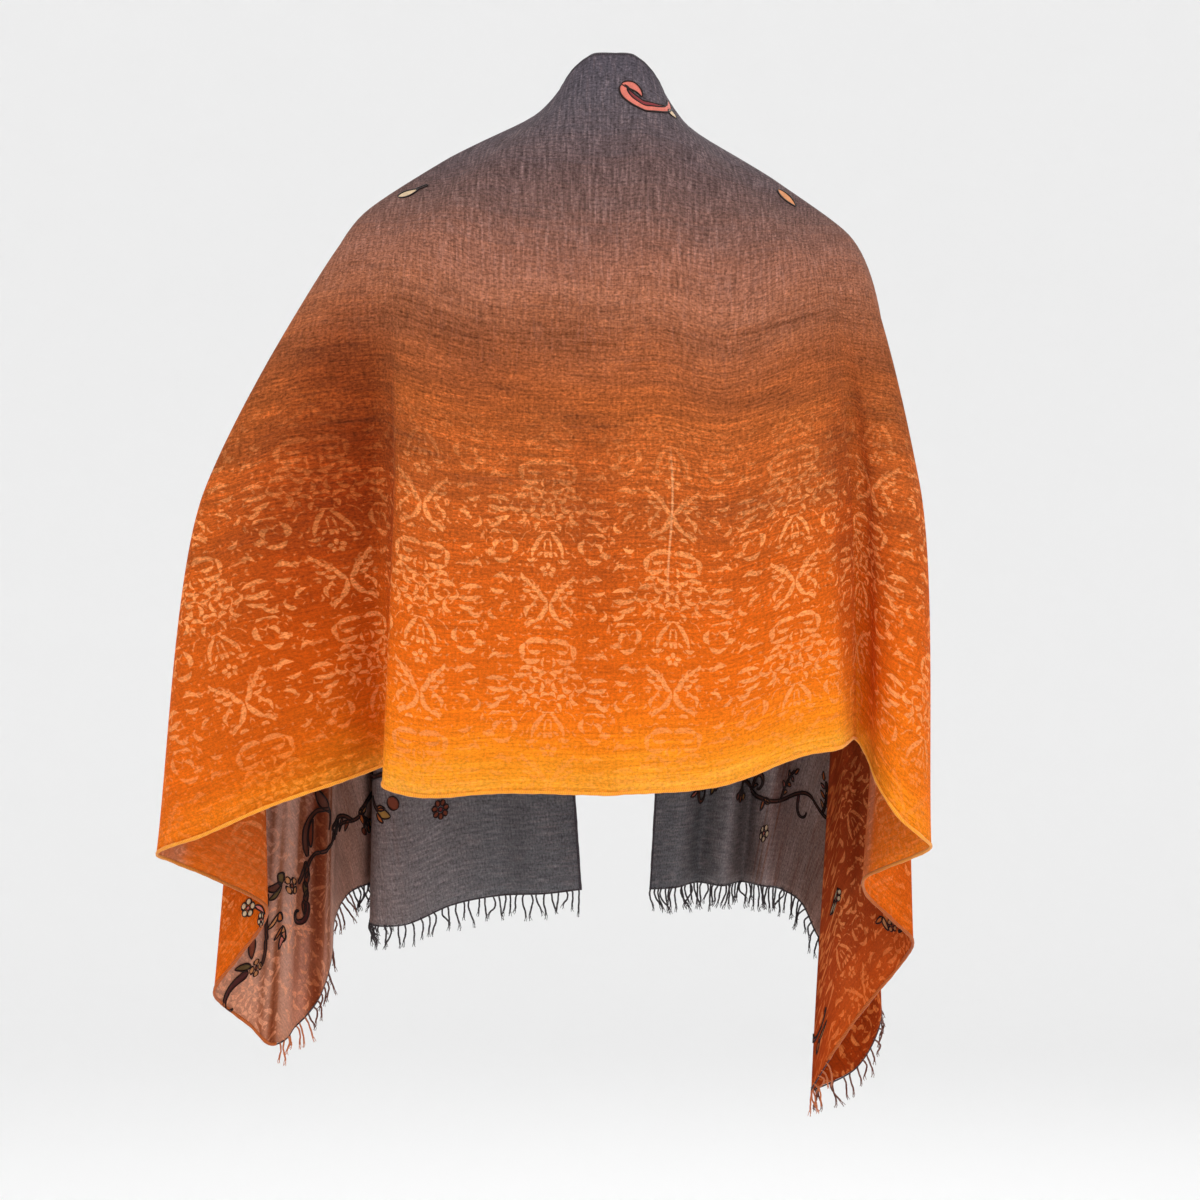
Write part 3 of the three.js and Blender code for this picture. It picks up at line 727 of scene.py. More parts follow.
# Woven figures of half a column, mirrored about its middle. All in millimetres, y down the cloth.
# Columns: x, y, turn in degrees, half length, half width, bulge of the middle in half widths.
DAMASK_STROKES = [
    # bell: its splayed leg, cap, stripe, drops and foot
    [9, 13, 56, 13.2, 2.2, -1.5], [2, 1, 12, 4.6, 2, -0.8], [3, 12.5, 84, 4.4, 1.1, 0],
    [2.4, 22, 60, 2.4, 1.9, 0], [8.2, 21, 40, 3.2, 1.4, 0], [17.4, 25.6, 6, 4.8, 1.9, 1],
    # star flower
    [0.3, 31.4, 90, 3, 1.9, 0], [5.6, 34.2, 8, 3.2, 1.9, 0], [3.3, 38.8, 56, 3, 1.9, 0],
    # crossing leaves with sprays over them and feet under them
    [5.4, 58.5, -56, 8.2, 2.6, 0.9], [7.6, 73.5, 56, 10.6, 2.7, 1.1], [16, 86, 32, 6.8, 2.2, -1.2],
    [10.8, 90, 8, 4.6, 1.8, -1], [12.8, 52, -52, 4.8, 2, 0.8], [18.2, 47, -46, 4.8, 2, 0.8],
    [23.6, 42.6, -40, 4.4, 1.9, 0.8], [15.2, 59.4, -14, 5, 1.9, 0.8], [21.8, 54.4, -12, 4.6, 1.8, 0.8],
    [19.6, 74.5, 62, 6, 2.2, -1.8], [16.4, 69.2, -8, 3.4, 1.8, -1],
    # double scroll
    [12.5, 104, 4, 11.6, 2.6, -0.9], [24.4, 110.5, 84, 6.4, 2.9, -1], [14.5, 111, 0, 6.4, 1.9, 0.6],
    [17, 118.6, 2, 8.6, 2.4, 0.9],
    # ring
    [3.9, 121, 90, 4.6, 1.5, -1.6],
    # burst of curls
    [10.4, 127, -22, 5.6, 2, 1.2], [22.5, 127.5, 14, 6.6, 2, -1], [4.6, 134, 40, 4.8, 2, -1.4],
    [14.4, 136, -34, 5.6, 2.1, 1.3], [28.5, 135.8, 10, 7, 2, -1.2], [7.6, 144.5, 74, 5.2, 2, 1.4],
    [19, 145.5, 20, 5.8, 2.1, 1.3], [33.5, 145, -20, 6.6, 2, 1.2], [3.4, 153.4, 18, 4.2, 1.9, -1.4],
    [13.6, 155, -18, 5.6, 2.1, -1.3], [27, 155.4, 40, 6, 2, 1.2], [10, 163, 58, 4.4, 1.9, -1.2],
    # its wings between the columns
    [51, 138.5, -5, 11, 2.1, -1.1], [50, 145.6, -4, 11.4, 2.4, 1], [47, 154.6, 12, 8.6, 2.1, 0.8],
    [55, 161, 26, 7.2, 2, 0.8],
    # spiral between the columns, with its beads
    [49, 4, 4, 10.6, 2.5, -2], [37.6, 13, 88, 7.2, 2.8, 1.3], [46.6, 24, 6, 9, 2.4, 1.6],
    [51, 14.5, 50, 5.2, 2.4, -1.4], [59.6, 20.5, 70, 3.4, 2.4, 0],
    # leaves on the way down to the next wings
    [48, 46, -14, 8.4, 2.1, -1.7], [52, 54, -8, 6.8, 2, 1.4], [44, 70, 28, 6.4, 1.9, -1],
    [56, 78, -40, 5.8, 2, 1.2], [46, 98, -16, 6.4, 1.9, 1.3], [55, 116, 20, 6, 1.9, -1.2],
]
DAMASK_PITCH = (108.0, 167.0)
DAMASK_START = (-56.0, -44.0)      # s and t at the top of one column
DAMASK_NARROWING = 0.84            # of the chart, to the cloth
DAMASK_LENGTHENING = 1.08          # of each stroke
DAMASK_BREADTH = 1.32
DAMASK_WAVERING = ((24.0, 4.0), (6.5, 1.8))     # how far apart and how far its sides waver
CURL_SCALE = (0.105, 0.125, 1)     # of the worn curls between the figures
BREAK_SCALE = (0.17, 0.17, 1)      # of where they are broken off
BURST_MIDDLE = (0.0, 146.0)        # in the cell; the curls are denser within BURST_REACH of it
BURST_REACH = (46.0, 24.0)
# The threads' noises. Columns: output, offset, how fine along and across the cloth, detail, roughness.
THREAD_NOISES = [
    ["Warp", (0, 0, 0), (430, 44, 1), 4.0, 0.70],
    ["Weft", (3.7, 1.9, 0), (30, 460, 1), 4.0, 0.72],
    ["Grain", (0.7, 5.2, 0), (330, 480, 1), 3.0, 0.75],
    ["Warp Slubs", (1.1, 8.2, 0), (330, 34, 1), 4.0, 0.68],
    ["Weft Slubs", (6.4, 2.6, 0), (9, 210, 1), 4.0, 0.66],
]


@dataclass
class WeaveGroups:
    """The shader node groups that the cloth's materials share."""
    stroke: Tree = field(init=False)
    damask: Tree = field(init=False)
    threads: Tree = field(init=False)

    def __post_init__(self) -> None:
        """Builds every group once."""
        self.stroke = self.leaf_stroke()
        self.damask = self.damask_figures()
        self.threads = self.woven_threads()

    def leaf_stroke(self) -> Tree:
        """A leaf-shaped stroke from (-1, 0) to (1, 0): 1 - x² - |y - bulge (1 - x²)|, above 0 inside.

        Returns:
            The group, from a vector and a bulge to the height.
        """
        g, source, result = new_group("leaf stroke", {"Vector": "Vector", "Bulge": "Float"},
                                      {"Height": "Float"})
        x, y, _ = g.split(source.outputs["Vector"])
        arch = g.math("SUBTRACT", 1.0, g.product(x, x))
        off = g.math("ABSOLUTE", g.math("SUBTRACT", y, g.product(source.outputs["Bulge"], arch)))
        g.feed(result.inputs["Height"], g.math("SUBTRACT", g.math("MINIMUM", arch, 0.8), off))
        return g.tree

    def damask_figures(self) -> Tree:
        """Half-drop columns of mirrored strokes: the highest stroke at each point, with soft sides, and
        the middle lines of a noise as worn curls, broken off by another noise.

        Returns:
            The group, from the cloth's UV to a mask.
        """
        g, source, result = new_group("damask figures", {"Vector": "Vector"}, {"Mask": "Float"})
        width, height = DAMASK_PITCH
        start = tuple(-value for value in DAMASK_START) + (0.0,)
        flat = g.vector("MULTIPLY_ADD", source.outputs["Vector"], (1 / MM,) * 3, start)
        wavy = flat
        for pitch, reach in DAMASK_WAVERING:
            wander = g.node("ShaderNodeTexNoise", {"Vector": flat, "Scale": 1 / pitch, "Detail": 1.0})
            shift = g.vector("SUBTRACT", wander.outputs["Color"], (0.5, 0.5, 0.5))
            wavy = g.vector("MULTIPLY_ADD", shift, (reach, reach, 0.0), wavy)
        across, down, _ = g.split(wavy)
        column = g.math("ROUND", g.math("DIVIDE", across, width))
        x = g.math("ABSOLUTE", g.math("SUBTRACT", across, g.product(column, width)))
        lowered = g.math("MULTIPLY_ADD", g.math("FLOORED_MODULO", column, 2.0), height / 2, down)
        y = g.math("FLOORED_MODULO", lowered, height)
        cell = g.node("ShaderNodeCombineXYZ", {0: g.math("DIVIDE", x, DAMASK_NARROWING), 1: y}).outputs[0]
        best: Socket | float = -1.0
        for place_x, place_y, turn, length, half, bulge in DAMASK_STROKES:
            size = (length * DAMASK_LENGTHENING, half * DAMASK_BREADTH, 1)
            own = g.place(cell, (place_x, place_y, 0), math.radians(turn), size, inverse=True)
            stroke = g.group(self.stroke, Vector=own, Bulge=bulge / DAMASK_BREADTH)
            best = g.math("MAXIMUM", best, stroke.outputs[0])
        figure = g.spread(best, -0.12, 0.26, smooth=True)
        curls = g.noise(g.place(cell, (31, 17, 0), scale=CURL_SCALE), detail=0.0)
        worm = g.spread(g.math("ABSOLUTE", g.math("SUBTRACT", curls, 0.5)), 0.03, 0.08, 0.8, 0.0)
        reach = tuple(1 / value for value in BURST_REACH)
        burst = [-way * size for way, size in zip(BURST_MIDDLE, reach)]
        from_burst = g.place(cell, (*burst, 0), scale=(*reach, 1))
        distance = g.node("ShaderNodeVectorMath", {0: from_burst}, operation="LENGTH").outputs["Value"]
        denser = g.spread(distance, 0.8, 1.2, 0.10, 0.0)
        chance = g.math("ADD", g.noise(g.place(cell, (7, 3, 0), scale=BREAK_SCALE), 1.0, 0.0), denser)
        worn = g.product(worm, g.spread(chance, 0.56, 0.64))
        g.feed(result.inputs["Mask"], g.math("MAXIMUM", figure, worn))
        return g.tree

    def woven_threads(self) -> Tree:
        """Noises drawn out along the two ways of the cloth, as threads of uneven thickness, a grain of
        short slubs, and their height: the grain plus half of the two.

        Returns:
            The group, from the cloth's UV to the noises of THREAD_NOISES and the height.
        """
        names = [row[0] for row in THREAD_NOISES]
        g, source, result = new_group("woven threads", {"Vector": "Vector"},
                                      dict.fromkeys([*names, "Height"], "Float"))
        flat = source.outputs["Vector"]
        value = {name: g.noise(g.place(flat, offset, scale=scale), detail=detail, rough=rough)
                 for name, offset, scale, detail, rough in THREAD_NOISES}
        both = g.math("ADD", value["Grain"], g.product(g.math("ADD", value["Warp"], value["Weft"]), 0.5))
        for name, socket in (*value.items(), ("Height", both)):
            g.feed(result.inputs[name], socket)
        return g.tree


# Dye across the two faces of the cloth, on the inner face with painted light and shade in it. Columns: t in
# millimetres, red, green, blue.
OUTER_DYE = [
    [0, 84, 78, 86], [45, 92, 84, 90], [80, 94, 81, 84], [118, 102, 80, 78], [150, 116, 86, 79],
    [180, 132, 91, 78], [210, 157, 102, 81], [240, 168, 105, 77], [265, 166, 98, 65], [290, 166, 92, 54],
    [320, 173, 91, 46], [350, 181, 93, 42], [400, 191, 93, 37], [450, 198, 91, 30], [500, 207, 92, 24],
    [550, 219, 97, 19], [600, 232, 106, 17], [635, 243, 121, 20], [665, 249, 137, 24], [685, 252, 153, 34],
    [700, 253, 170, 56],
]
# The inner face: a paler, greyer copy of the dye, set darker and lighter in places to match how that face
# lies in shade, so its colours hold painted shade and painted light.
INNER_DYE_AND_SHADE = [
    [0, 96, 95, 99], [100, 112, 110, 113], [200, 124, 116, 117], [290, 142, 124, 121], [380, 168, 137, 127],
    [450, 192, 150, 135], [520, 204, 156, 138], [580, 200, 143, 118], [620, 192, 120, 88],
    [660, 190, 106, 64], [700, 196, 100, 46],
]
# Painted shade, where the sheer cloth lies over another layer of itself or folds into its own shade and its
# colour is darkened.
# Columns: e, half width, how much painted shade, v from, v to.
PAINTED_SHADE_PLACES = [
    [-290, 66, 0.42, 3.15, 5.6], [-290, 60, 0.30, 3.15, 4.5], [-375, 76, 0.62, 3.0, 5.6],
    [-236, 16, 0.35, 3.2, 5.6], [-16, 22, 0.22, 3.3, 5.3], [258, 30, 0.42, 3.5, 5.4],
    [330, 25, 0.62, 3.3, 5.6], [236, 12, 0.25, 3.2, 5.2], [-120, 60, 0.16, 3.0, 3.9],
    [-668, 30, 0.25, 3.9, 5.6], [-740, 60, 0.28, 3.9, 5.6], [-862, 9, 0.90, 3.9, 5.6],
    [-889, 9, 1.70, 4.25, 5.8], [-934, 9, 1.50, 3.6, 5.1], [-974, 17, 2.30, 3.9, 5.8],
    [-1010, 10, 1.20, 3.6, 5.8], [-1100, 22, 0.35, 3.2, 5.6], [-1240, 60, 0.30, 3.2, 5.6],
    [560, 30, 0.25, 3.9, 5.6], [710, 45, 0.55, 3.7, 5.8], [800, 90, 0.95, 3.6, 5.8],
    [950, 80, 1.35, 3.2, 5.8], [1060, 60, 1.10, 3.2, 5.8],
]
PAINTED_SHADE_ENDS = (0.6, 0.5)
PAINTED_SHADE_STEPS = (0.0, 1.0, 2.0)             # each multiplies the colour by SHADE_TINT once more
# The tint by which painted shade darkens the cloth.
SHADE_TINT = (200, 166, 142)
STREAK_BROWN = (96, 52, 32)
SLUB_PALE = (172, 142, 138)
LONG_SLUB_PALE = (252, 176, 118)
LONG_SLUB = (0.050, 0.0022, 34.0)          # its place along the cloth, how far it bends, how often
# Where the golden outer dye and its figures show through to the inner face. Columns: e from, e to, the
# width of its soft bounds, v from, how strongly.
SHEER_PLACES = [
    [-720, -556, 9, 3.9, 0.95], [-556, -470, 30, 4.2, 0.35], [-1010, -930, 30, 4.0, 0.25],
    [400, 545, 14, 3.9, 0.95], [545, 980, 30, 3.7, 0.88],
]
SHEER_RISE = 0.5                           # how softly it sets in, in v


@dataclass
class WoolGraph:
    """A wool material's graph, and what its steps read."""
    g: Graph
    cloth: Socket                                # the cloth's own UV, in metres
    along: Socket
    across: Socket
    threads: Outputs
    figures: Socket                              # mask of the damask
    worn: Socket                                 # how much of it wear has left


@dataclass(frozen=True)
class WovenWool:
    """Fine slubby wool with its dye, its painted light and shade, and its woven figures, for one face of the
    cloth.
    """
    name: str
    # The colour ramp: dye, which on the inner face holds painted light and shade.
    dye: Table
    figure: Colour
    figure_share: float
    contrast: float
    glow: float                                  # share of light that comes through from behind
    fade_in: Pair                              # where across the cloth the figures begin, in metres
    fade_out: Pair                             # and where they grow faint again
    behind: Optional["WovenWool"] = None         # the other face, where it shows through this one

    def dyed(self, at: WoolGraph) -> Socket:
        """The colour of its ramp, dye with painted light and shade on the inner face: a ramp across the
        cloth, whose bounds wander and blur along the threads, and whose golden edge narrows towards the two
        ends.

        Args:
            at: the graph.

        Returns:
            The colour.
        """
        g = at.g
        wander = g.noise(g.place(at.cloth, scale=(2.6, 7.0, 1)), detail=5.0, rough=0.70)
        out = g.spread(g.math("ABSOLUTE", at.along), 0.26, 0.66, 0.0, 0.095, smooth=True)
        shifted = g.math("SUBTRACT", at.across, g.product(out, g.spread(at.across, 0.44, 0.60)))
        for value, reach in ((wander, 0.085), (at.threads["Weft Slubs"], 0.05)):
            shifted = g.math("MULTIPLY_ADD", g.math("SUBTRACT", value, 0.5), reach, shifted)
        ramp = g.node("ShaderNodeValToRGB", {0: g.math("DIVIDE", shifted, WIDTH * MM)})
        write_stops(ramp.color_ramp, self.dye)
        return ramp.outputs[0]

    def figured(self, at: WoolGraph, colour: Socket) -> Socket:
        """The ramp's colour with its woven figures, which fade out into the brown and into the golden edge.

        Args:
            at: the graph.
            colour: the ramp's colour.

        Returns:
            The colour.
        """
        g = at.g
        fade = g.product(g.spread(at.across, *self.fade_in, smooth=True),
                         g.spread(at.across, *self.fade_out, 1.0, 0.22, smooth=True))
        return g.blend(g.product(at.figures, fade, at.worn, self.figure_share), colour, self.figure)

    def material(self, groups: WeaveGroups) -> Material:
        """Makes the material.

        Args:
            groups: the shared node groups.

        Returns:
            A material that reads the cloth's own UV, in metres, and its attributes of painted shade and
            sheerness.
        """
        material, g, output = start_material(self.name)
        cloth = g.node("ShaderNodeUVMap", uv_map="cloth").outputs[0]
        along, across, _ = g.split(cloth)
        threads = g.group(groups.threads, Vector=cloth).outputs
        worn = g.product(g.spread(g.noise(cloth, 20.0, 3.0), 0.32, 0.60, 0.70, 1.0),
                         g.spread(threads["Grain"], 0.34, 0.58, 0.68, 1.0))
        figures = g.group(groups.damask, Vector=cloth).outputs[0]
        at = WoolGraph(g, cloth, along, across, threads, figures, worn)
        colour = self.figured(at, self.dyed(at))
        if self.behind:
            other = self.behind.figured(at, self.behind.dyed(at))
            colour = g.blend(g.attribute("sheer"), colour, other)
        # Painted shade over the threads, on both faces.
        colour = self.with_painted_shade(at, self.streaked(at, colour))
        bump = g.node("ShaderNodeBump", {"Strength": 0.6, "Distance": 0.0006, "Height": threads["Height"]})
        shader = g.node("ShaderNodeBsdfPrincipled", {
            "Base Color": colour, "Roughness": 0.9, "Sheen Weight": 0.03, "Sheen Roughness": 0.5,
            "Sheen Tint": (0.9, 0.55, 0.35, 1.0), "Specular IOR Level": 0.08, "Normal": bump.outputs[0]})
        through = g.node("ShaderNodeBsdfTranslucent", {"Color": colour, "Normal": bump.outputs[0]})
        mixed = g.node("ShaderNodeMixShader", {0: self.glow, 1: shader.outputs[0], 2: through.outputs[0]})
        g.feed(output.inputs[0], mixed.outputs[0])
        return material

    def with_painted_shade(self, at: WoolGraph, colour: Socket) -> Socket:
        """The colour with painted shade: multiplied by SHADE_TINT in steps where the mesh says that the cloth
        lies over itself or folds into shade, in slow patches and less on the figures.

        Args:
            at: the graph.
            colour: the cloth's colour.

        Returns:
            The colour.
        """
        g = at.g
        patches = g.noise(g.place(at.cloth, (2.1, 0.7, 0), scale=(4.0, 11.0, 1)), detail=4.0, rough=0.6)
        painted_shade = g.product(g.attribute("painted_shade"), g.spread(patches, 0.3, 0.6, 0.75, 1.1))
        pale = g.product(at.figures, g.spread(at.across, 0.44, 0.54, 0.0, 0.55))
        painted_shade = g.math("SUBTRACT", painted_shade, g.product(g.math("MINIMUM", painted_shade, 1.0), pale))
        # Each step darkens the colour by the shade tint once more, as painted shade.
        for step in PAINTED_SHADE_STEPS:
            shade_tinted = g.blend(1.0, colour, linear(*SHADE_TINT), "MULTIPLY")
            colour = g.blend(g.math("SUBTRACT", painted_shade, step, clamp=True), colour, shade_tinted)
        return colour

    def streaked(self, at: WoolGraph, colour: Socket) -> Socket:
        """The colour with its threads: dark level streaks in patches over the brown, pale upright slubs
        over the grey, and a grain of single threads everywhere.

        Args:
            at: the graph.
            colour: the ramp's colour with its figures.

        Returns:
            The colour.
        """
        g, across, threads = at.g, at.across, at.threads
        patches = g.noise(g.place(at.cloth, (1.3, 0.4, 0), scale=(4.2, 19.0, 1)), detail=5.0, rough=0.72)
        streak = g.spread(threads["Weft Slubs"], 0.44, 0.62)
        dark = g.product(g.math("MULTIPLY_ADD", streak, 0.7, 0.3), g.spread(patches, 0.44, 0.58))
        within = g.product(g.spread(across, 0.18, 0.26), g.spread(across, 0.36, 0.56, 0.74, 0.12))
        colour = g.blend(g.product(dark, within), colour, linear(*STREAK_BROWN))
        low = g.spread(across, 0.19, 0.33)
        high = g.math("SUBTRACT", 1.0, low)
        pale = g.product(g.spread(threads["Warp Slubs"], 0.50, 0.66, 0.0, 0.13), high)
        colour = g.blend(pale, colour, linear(*SLUB_PALE))
        colour = g.blend(g.product(self.slub(at), 0.55), colour, linear(*LONG_SLUB_PALE))
        contrast = g.spread(across, 0.36, 0.58, self.contrast, 0.45 * self.contrast)
        for name, share, reach in (("Warp", g.math("MULTIPLY_ADD", high, 0.4, 0.6), 0.9),
                                   ("Weft", g.math("MULTIPLY_ADD", low, 0.4, 0.6), 0.9),
                                   ("Weft Slubs", low, 0.7), ("Warp Slubs", high, 0.6), ("Grain", 1.0, 1.6)):
            off = g.product(g.spread(threads[name], 0.35, 0.65, -reach, reach), contrast)
            tone = g.gray(g.math("ADD", off, 1.0))
            colour = g.blend(1.0, colour, g.blend(share, WHITE, tone), "MULTIPLY")
        return colour

    @staticmethod
    def slub(at: WoolGraph) -> Socket:
        """One long pale slub in the warp beside the middle of the back, which bends as a sine.

        Args:
            at: the graph.

        Returns:
            Its mask.
        """
        g, (place, reach, often) = at.g, LONG_SLUB
        bend = g.product(g.math("SINE", g.product(at.across, often)), reach)
        off = g.math("ABSOLUTE", g.math("SUBTRACT", g.math("SUBTRACT", at.along, place), bend))
        ends = g.product(g.spread(at.across, 0.370, 0.400), g.spread(at.across, 0.490, 0.520, 1.0, 0.0))
        return g.product(g.spread(off, 0.0005, 0.0013, 1.0, 0.0), ends)


OUTER_WOOL = WovenWool("wool outer face", OUTER_DYE, linear(254, 158, 90), figure_share=0.95, contrast=0.30,
                       glow=0.12, fade_in=(0.325, 0.47), fade_out=(0.610, 0.685))
INNER_WOOL = WovenWool("wool inner face", INNER_DYE_AND_SHADE, linear(240, 168, 132), figure_share=0.90, contrast=0.24,
                       glow=0.12, fade_in=(0.49, 0.62), fade_out=(0.69, 0.75), behind=OUTER_WOOL)


def start_material(name: str) -> tuple[Material, Graph, Node]:
    """Starts a node material.

    Args:
        name: its name.

    Returns:
        The material, its graph and its output node.
    """
    material = bpy.data.materials.new(name)
    material.use_nodes = True
    material.node_tree.nodes.clear()
    g = Graph(material.node_tree)
    return material, g, g.node("ShaderNodeOutputMaterial")


def write_stops(ramp: bpy.types.ColorRamp, rows: Table) -> None:
    """Writes a colour ramp's stops.

    Args:
        ramp: the ramp.
        rows: columns t, red, green and blue.
    """
    while len(ramp.elements) < len(rows):
        ramp.elements.new(1.0)
    for element, (t, *colour) in zip(ramp.elements, rows):
        element.position = t / WIDTH
        element.color = linear(*colour)


@dataclass(frozen=True)
class YarnFinish:
    """Twisted or sewn yarn, ribbed along its UV."""
    name: str
    colour: Colour
    shade: Colour
    pitch: float = 0.0011
    slant: float = 0.5
    sheen: float = 0.2
    roughness: float = 0.75
    far: Optional[Colour] = None      # its colour towards both ends
    middle: float = 0.0               # where halfway lies, in metres
    reach: Pair = (0.0, 1.0)        # from where to where it changes

    def material(self) -> Material:
        """Makes the material: bands across the yarn, a little slanted, with uneven colour.

        Returns:
            A material that reads the piece's own UV, u along the yarn and v round it, in metres.
        """
        material, g, output = start_material(self.name)
        own = g.node("ShaderNodeUVMap", uv_map="cloth").outputs[0]
        along, around, _ = g.split(own)
        run = g.math("MULTIPLY_ADD", around, self.slant, along)
        ribs = g.spread(g.math("SINE", g.product(run, 2 * math.pi / self.pitch)), -1.0, 1.0)
        tone = g.math("MULTIPLY_ADD", ribs, 0.55, g.product(g.noise(own, 240.0, 3.0), 0.6))
        colour = g.blend(g.spread(tone, 0.15, 0.85), self.shade, self.colour)
        if self.far:
            away = g.math("ABSOLUTE", g.math("SUBTRACT", along, self.middle))
            dull = g.blend(g.spread(tone, 0.15, 0.85, 0.45, 1.0), (0, 0, 0, 1), self.far)
            colour = g.blend(g.spread(away, *self.reach, smooth=True), colour, dull)
        bump = g.node("ShaderNodeBump", {"Strength": 0.6, "Distance": 0.0004, "Height": tone})
        shader = g.node("ShaderNodeBsdfPrincipled", {
            "Base Color": colour, "Roughness": self.roughness, "Sheen Weight": self.sheen,
            "Specular IOR Level": 0.2, "Normal": bump.outputs[0]})
        g.feed(output.inputs[0], shader.outputs[0])
        return material


GOLDEN_HEM = YarnFinish("hem yarn, golden", linear(252, 172, 50), linear(226, 118, 24), pitch=0.0016,
                        far=linear(196, 98, 40), reach=(0.42, 0.66))
SMOKE_HEM = YarnFinish("hem yarn, charcoal", linear(74, 66, 72), linear(38, 32, 36), pitch=0.0016)
FRINGE_YARNS = (
    YarnFinish("fringe yarn, charcoal", linear(72, 60, 64), linear(30, 24, 28)),
    YarnFinish("fringe yarn, russet", linear(128, 66, 44), linear(70, 34, 26)),
    YarnFinish("fringe yarn, orange", linear(226, 132, 78), linear(158, 74, 34)),
)


# ---- The cloth --------------------
@dataclass
class StoleCloth:
    """The one sheet of cloth, a closed shell with an outer and an inner face."""
    drape: Drape
    thickness: float = 1.0
    hem_columns: int = 293
    end_columns: int = 115
    yoke_rows: int = 26
    fall_rows: int = 64
    edge_margin: float = 0.006        # in v, hidden in the hems
    end_margin: float = 1.0           # in e, likewise

    def lines(self) -> tuple[Array, Array]:
        """Where the mesh has points: evenly along each end and the hem, down the yoke and down the fall.

        Returns:
            e of its hang lines, and v of the points on each.
        """
        hem, end, yoke = HALF_LENGTH, END_OF_EDGE - self.end_margin, YOKE_END
        e = np.concatenate([np.linspace(-end, -hem, self.end_columns)[:-1],
                            np.linspace(-hem, hem, self.hem_columns),
                            np.linspace(hem, end, self.end_columns)[1:]])
        v = np.concatenate([np.linspace(self.edge_margin, yoke, self.yoke_rows)[:-1],
                            np.linspace(yoke, FALL_END - self.edge_margin, self.fall_rows)])
        return e, v

    def build(self, groups: WeaveGroups) -> Piece:
        """Builds and dresses the sheet.

        Args:
            groups: the shared node groups.

        Returns:
            The piece.
        """
        e, v = self.lines()
        grid_v = np.broadcast_to(v, (len(e), len(v)))
        grid = self.drape.shaped(e, grid_v)
        out = self.drape.normals(self.drape.shaped, e, grid_v)[2]
        points, count = grid[..., :3].reshape(-1, 3), len(e) * len(v)
        shift = out.reshape(-1, 3) * self.thickness / 2
        number = np.arange(count).reshape(len(e), len(v))
        rim = np.concatenate([number[:, 0], number[-1, 1:], number[-2::-1, -1], number[0, -2::-1]])
        rim_quads = np.stack([rim[:-1], rim[1:], rim[1:] + count, rim[:-1] + count], axis=-1)
        outer, inner = grid_faces(len(e), len(v)), grid_faces(len(e), len(v), count, turned=True)
        faces = np.concatenate([outer, inner, rim_quads])
        slots = np.concatenate([np.zeros(len(outer)), np.ones(len(inner)), np.zeros(len(rim_quads))])
        flat = np.arange(len(faces)) >= len(outer) + len(inner)
        cloth = grid[..., 3:].reshape(-1, 2) * MM
        piece = new_piece("stole_cloth", np.concatenate([points + shift, points - shift]), faces.tolist(),
                          np.concatenate([cloth, cloth]), slots, flat)
        # The first attribute is painted shade in folds and over doubled layers; the second, how much outer
        # dye shows through.
        for name, share in (("painted_shade", self.painted_shade(e, grid_v)), ("sheer", self.sheer(e, grid_v))):
            layer = piece.data.attributes.new(name, "FLOAT", "POINT")
            layer.data.foreach_set("value", np.tile(share.ravel(), 2).astype(np.float32))
        for finish in (OUTER_WOOL, INNER_WOOL):
            piece.data.materials.append(finish.material(groups))
        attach(piece, "root")
        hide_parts("neck_and_shoulders", "back_panel", "left_back", "right_back", "left_cascade",
                    "right_cascade", "left_front", "right_front")
        return piece

    @staticmethod
    def painted_shade(e: Array, v: Array) -> Array:
        """How much painted shade darkens the colour: the soft bells of the painted shade table, and at most
        every step.
        """
        return np.minimum(bell_sum(PAINTED_SHADE_PLACES, e, v, PAINTED_SHADE_ENDS), len(PAINTED_SHADE_STEPS))

    @staticmethod
    def sheer(e: Array, v: Array) -> Array:
        """How much of the outer dye shows on the inner face: the strongest of the rows of SHEER_PLACES,
        each a plateau with soft bounds.

        Args:
            e: (lines,) edge distances.
            v: (lines, samples).

        Returns:
            (lines, samples), 0 to 1.
        """
        share = np.zeros_like(v)
        for first, last, soft, start, most in SHEER_PLACES:
            begun, over = smooth_step(first - soft, first + soft, e), smooth_step(last - soft, last + soft, e)
            plateau = (begun * (1 - over))[:, None]
            share = np.maximum(share, most * plateau * smooth_step(start, start + SHEER_RISE, v))
        return share


